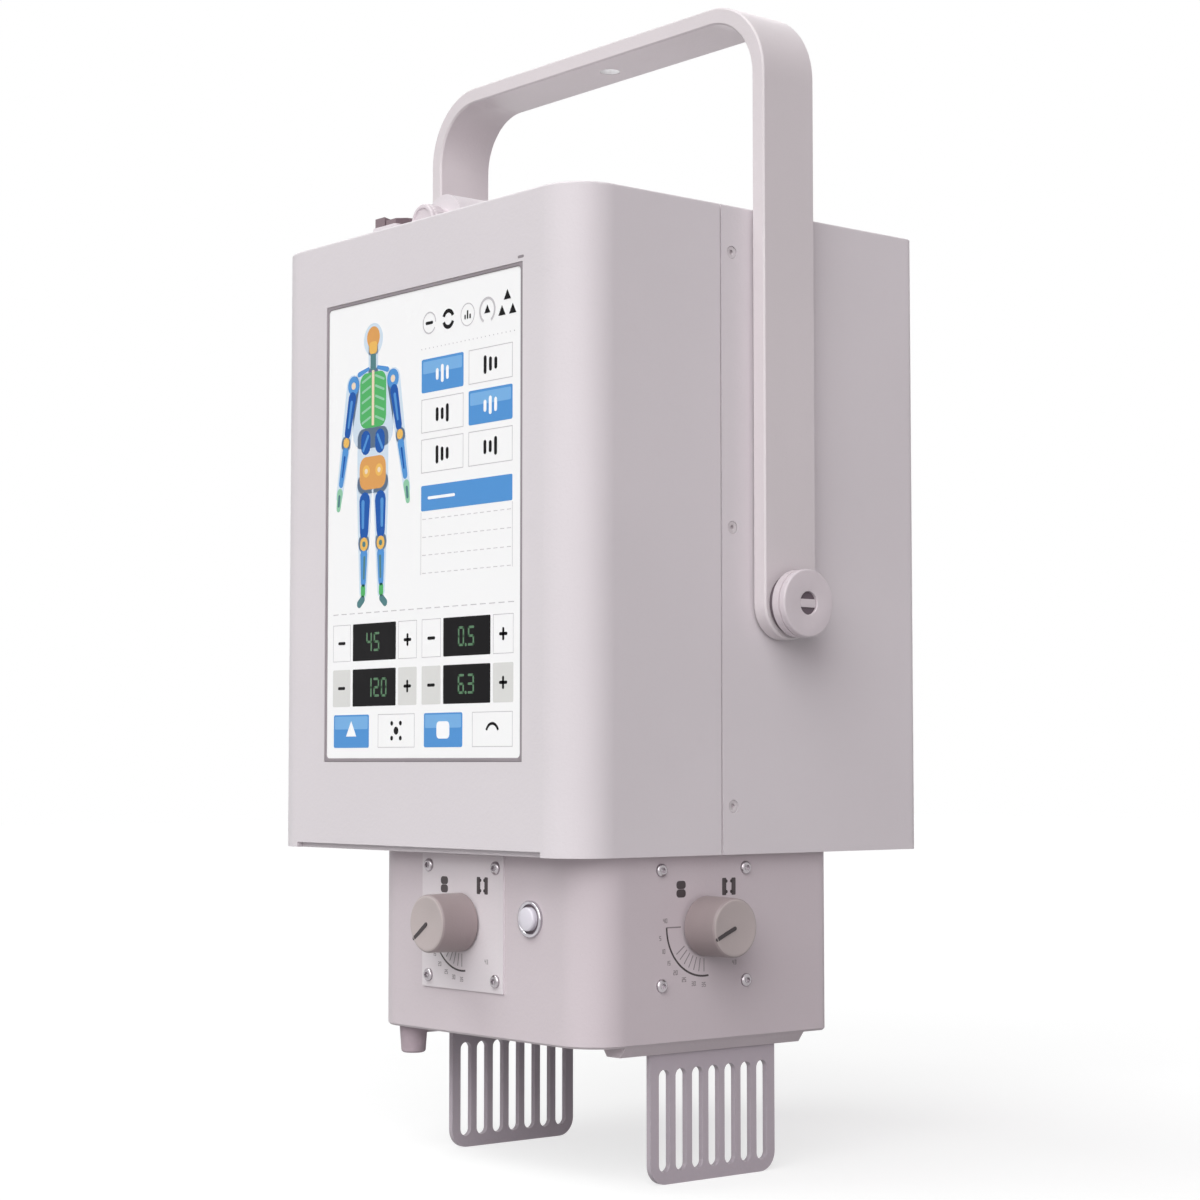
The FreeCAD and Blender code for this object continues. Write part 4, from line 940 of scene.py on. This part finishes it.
def rockers():
    """Two switch rockers, each a swept block with a hollow top that leans to one side.

    With t from -1 to 1 along the rocker, its top stands at 0.80 - 0.22 t of the height where t is
    above 0 and at 0.80 + 0.20 t squared elsewhere.
    """
    low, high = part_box("switch_rockers")
    centre = (low.x + high.x) / 2
    gap, side_edge, drop = 0.65 * MM, 0.1 * MM, 0.35 * MM
    steps = 13
    around = 2 * steps
    across = np.linspace(0, 1, steps)
    pieces = []
    for x0, x1, lean in ((low.x, centre - gap, 1), (centre + gap, high.x, -1)):
        t = (2 * across - 1) * lean
        top = low.z + (high.z - low.z) * np.where(t > 0, 0.80 - 0.22 * t, 0.80 + 0.20 * t ** 2)
        along = low.y + across * (high.y - low.y)
        ring_y = np.concatenate([along, along[::-1]])
        rows = []
        for place, lower in ((x0, drop), (x0 + side_edge, 0.0), (x1 - side_edge, 0.0), (x1, drop)):
            ring_z = np.concatenate([top - lower, np.full(steps, low.z)])
            rows.append(np.stack([np.full(around, place), ring_y, ring_z], axis=1))
        faces = surface_faces(4, around).tolist()
        faces += [list(range(around)), list(range(4 * around - 1, 3 * around - 1, -1))]
        pieces.append((np.concatenate(rows), faces))
    made = mesh_object("rocker_pair", *joined(pieces), DARK, "dark_plastic", smooth=30)
    work = bmesh.new()
    work.from_mesh(made.data)
    bmesh.ops.recalc_face_normals(work, faces=work.faces)
    work.to_mesh(made.data)
    work.free()
    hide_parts("switch_rockers")


def sensor_dot():
    """Small light sensor above the display's right corner."""
    glass_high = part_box("display_glass")[1]
    cover_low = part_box("front_cover")[0]
    aside, above = 0.5 * MM, 4.0 * MM
    face = Panel((glass_high.x + aside, cover_low.y, glass_high.z + above), (0, -1, 0))
    face.add("sensor", stroke(-1.6, 0, 1.6, 0, 1.3))
    face.build("light_", {"sensor": RIM}, "screen_frame", 0.03)


display_picture()
display_rim()
printed_scales()
knobs()
screws()
pivot_caps()
lamp_button()
peg()
grip_lining_painted_highlight()
round_socket()
rockers()
sensor_dot()


# Floor, light and camera

def plain_floor():
    """A pale floor that is white to the camera, apart from the object's soft shadow."""
    half = 6.0
    corners = [(-half, -half, 0), (half, -half, 0), (half, half, 0), (-half, half, 0)]
    mesh = bpy.data.meshes.new("floor")
    mesh.from_pydata(corners, [], [(0, 1, 2, 3)])
    f = Finish("floor_finish")
    seen = f.node("ShaderNodeLightPath", output="Is Camera Ray")
    for kind in ("Is Glossy Ray", "Is Transmission Ray"):
        seen = seen + f.node("ShaderNodeLightPath", output=kind)
    ground = f.blend(f.noise(3.0).between(0.3, 0.7), (0.36, 0.36, 0.36, 1), (0.38, 0.38, 0.38, 1))
    glow = f.blend(seen.clip(), (0, 0, 0, 1), (0.69, 0.69, 0.69, 1))
    mesh.materials.append(f.surface(
        base_color=ground, roughness=0.9, emission_color=glow, emission_strength=1.0,
        specular_ior_level=0.0))
    made = bpy.data.objects.new("floor", mesh)
    bpy.context.scene.collection.objects.link(made)


def lamp(name, towards, energy, width, colour):
    """A distant lamp with a soft edge; towards points from the object to the lamp."""
    data = bpy.data.lights.new(name, "SUN")
    data.color = colour
    data.energy = energy
    data.angle = math.radians(width)
    made = bpy.data.objects.new(name, data)
    made.rotation_mode = "QUATERNION"
    made.rotation_quaternion = Vector(towards).to_track_quat("Z", "Y")
    bpy.context.scene.collection.objects.link(made)


def white_surroundings():
    """A world that is white to the camera and in reflections, and dim as a light."""
    world = bpy.data.worlds.new("studio")
    bpy.context.scene.world = world
    world.use_nodes = True
    tree = world.node_tree
    tree.nodes.clear()
    path = tree.nodes.new("ShaderNodeLightPath")
    seen = path.outputs["Is Camera Ray"]
    for kind in ("Is Glossy Ray", "Is Transmission Ray"):
        either = tree.nodes.new("ShaderNodeMath")
        either.operation = "MAXIMUM"
        tree.links.new(seen, either.inputs[0])
        tree.links.new(path.outputs[kind], either.inputs[1])
        seen = either.outputs[0]
    colour = tree.nodes.new("ShaderNodeMix")
    colour.data_type = "RGBA"
    colour.inputs[6].default_value = (0.14, 0.128, 0.135, 1.0)
    colour.inputs[7].default_value = (1.0, 1.0, 1.0, 1.0)
    tree.links.new(seen, colour.inputs[0])
    light = tree.nodes.new("ShaderNodeBackground")
    tree.links.new(colour.outputs[2], light.inputs["Color"])
    out = tree.nodes.new("ShaderNodeOutputWorld")
    tree.links.new(light.outputs[0], out.inputs[0])


def camera():
    """The photograph's viewpoint, fitted to the housing's edges."""
    azimuth, pitch = math.radians(50.11), math.radians(3.61)
    forward = Vector((
        -math.sin(azimuth) * math.cos(pitch), math.cos(azimuth) * math.cos(pitch), math.sin(pitch)))
    data = bpy.data.cameras.new("camera")
    data.sensor_width = 36.0
    data.lens = 76.93
    data.clip_start = 0.01
    data.clip_end = 60.0
    made = bpy.data.objects.new("camera", data)
    made.location = (0.9843, -0.8110, 0.1893)
    made.rotation_mode = "QUATERNION"
    made.rotation_quaternion = forward.to_track_quat("-Z", "Y")
    bpy.context.scene.collection.objects.link(made)
    bpy.context.scene.camera = made


# Tints of the lamps: cool from the display's side and above, rosy from the corner and behind
COOL = (0.95, 1.0, 0.975)
ROSY = (1.0, 0.92, 0.96)

plain_floor()
lamp("key_lamp", (-0.35, -0.5, 1.1), 1.09, 30, COOL)
lamp("front_lamp", (0.5, -1.0, 0.85), 1.64, 55, COOL)
lamp("corner_lamp", (0.8, -0.8, 0.7), 0.72, 55, ROSY)
lamp("low_lamp", (0.8, -0.5, 0.05), 0.49, 35, ROSY)
lamp("rear_lamp", (-0.7, 0.9, 0.12), 0.8, 60, ROSY)
white_surroundings()
camera()
bpy.context.scene.view_settings.view_transform = "Standard"
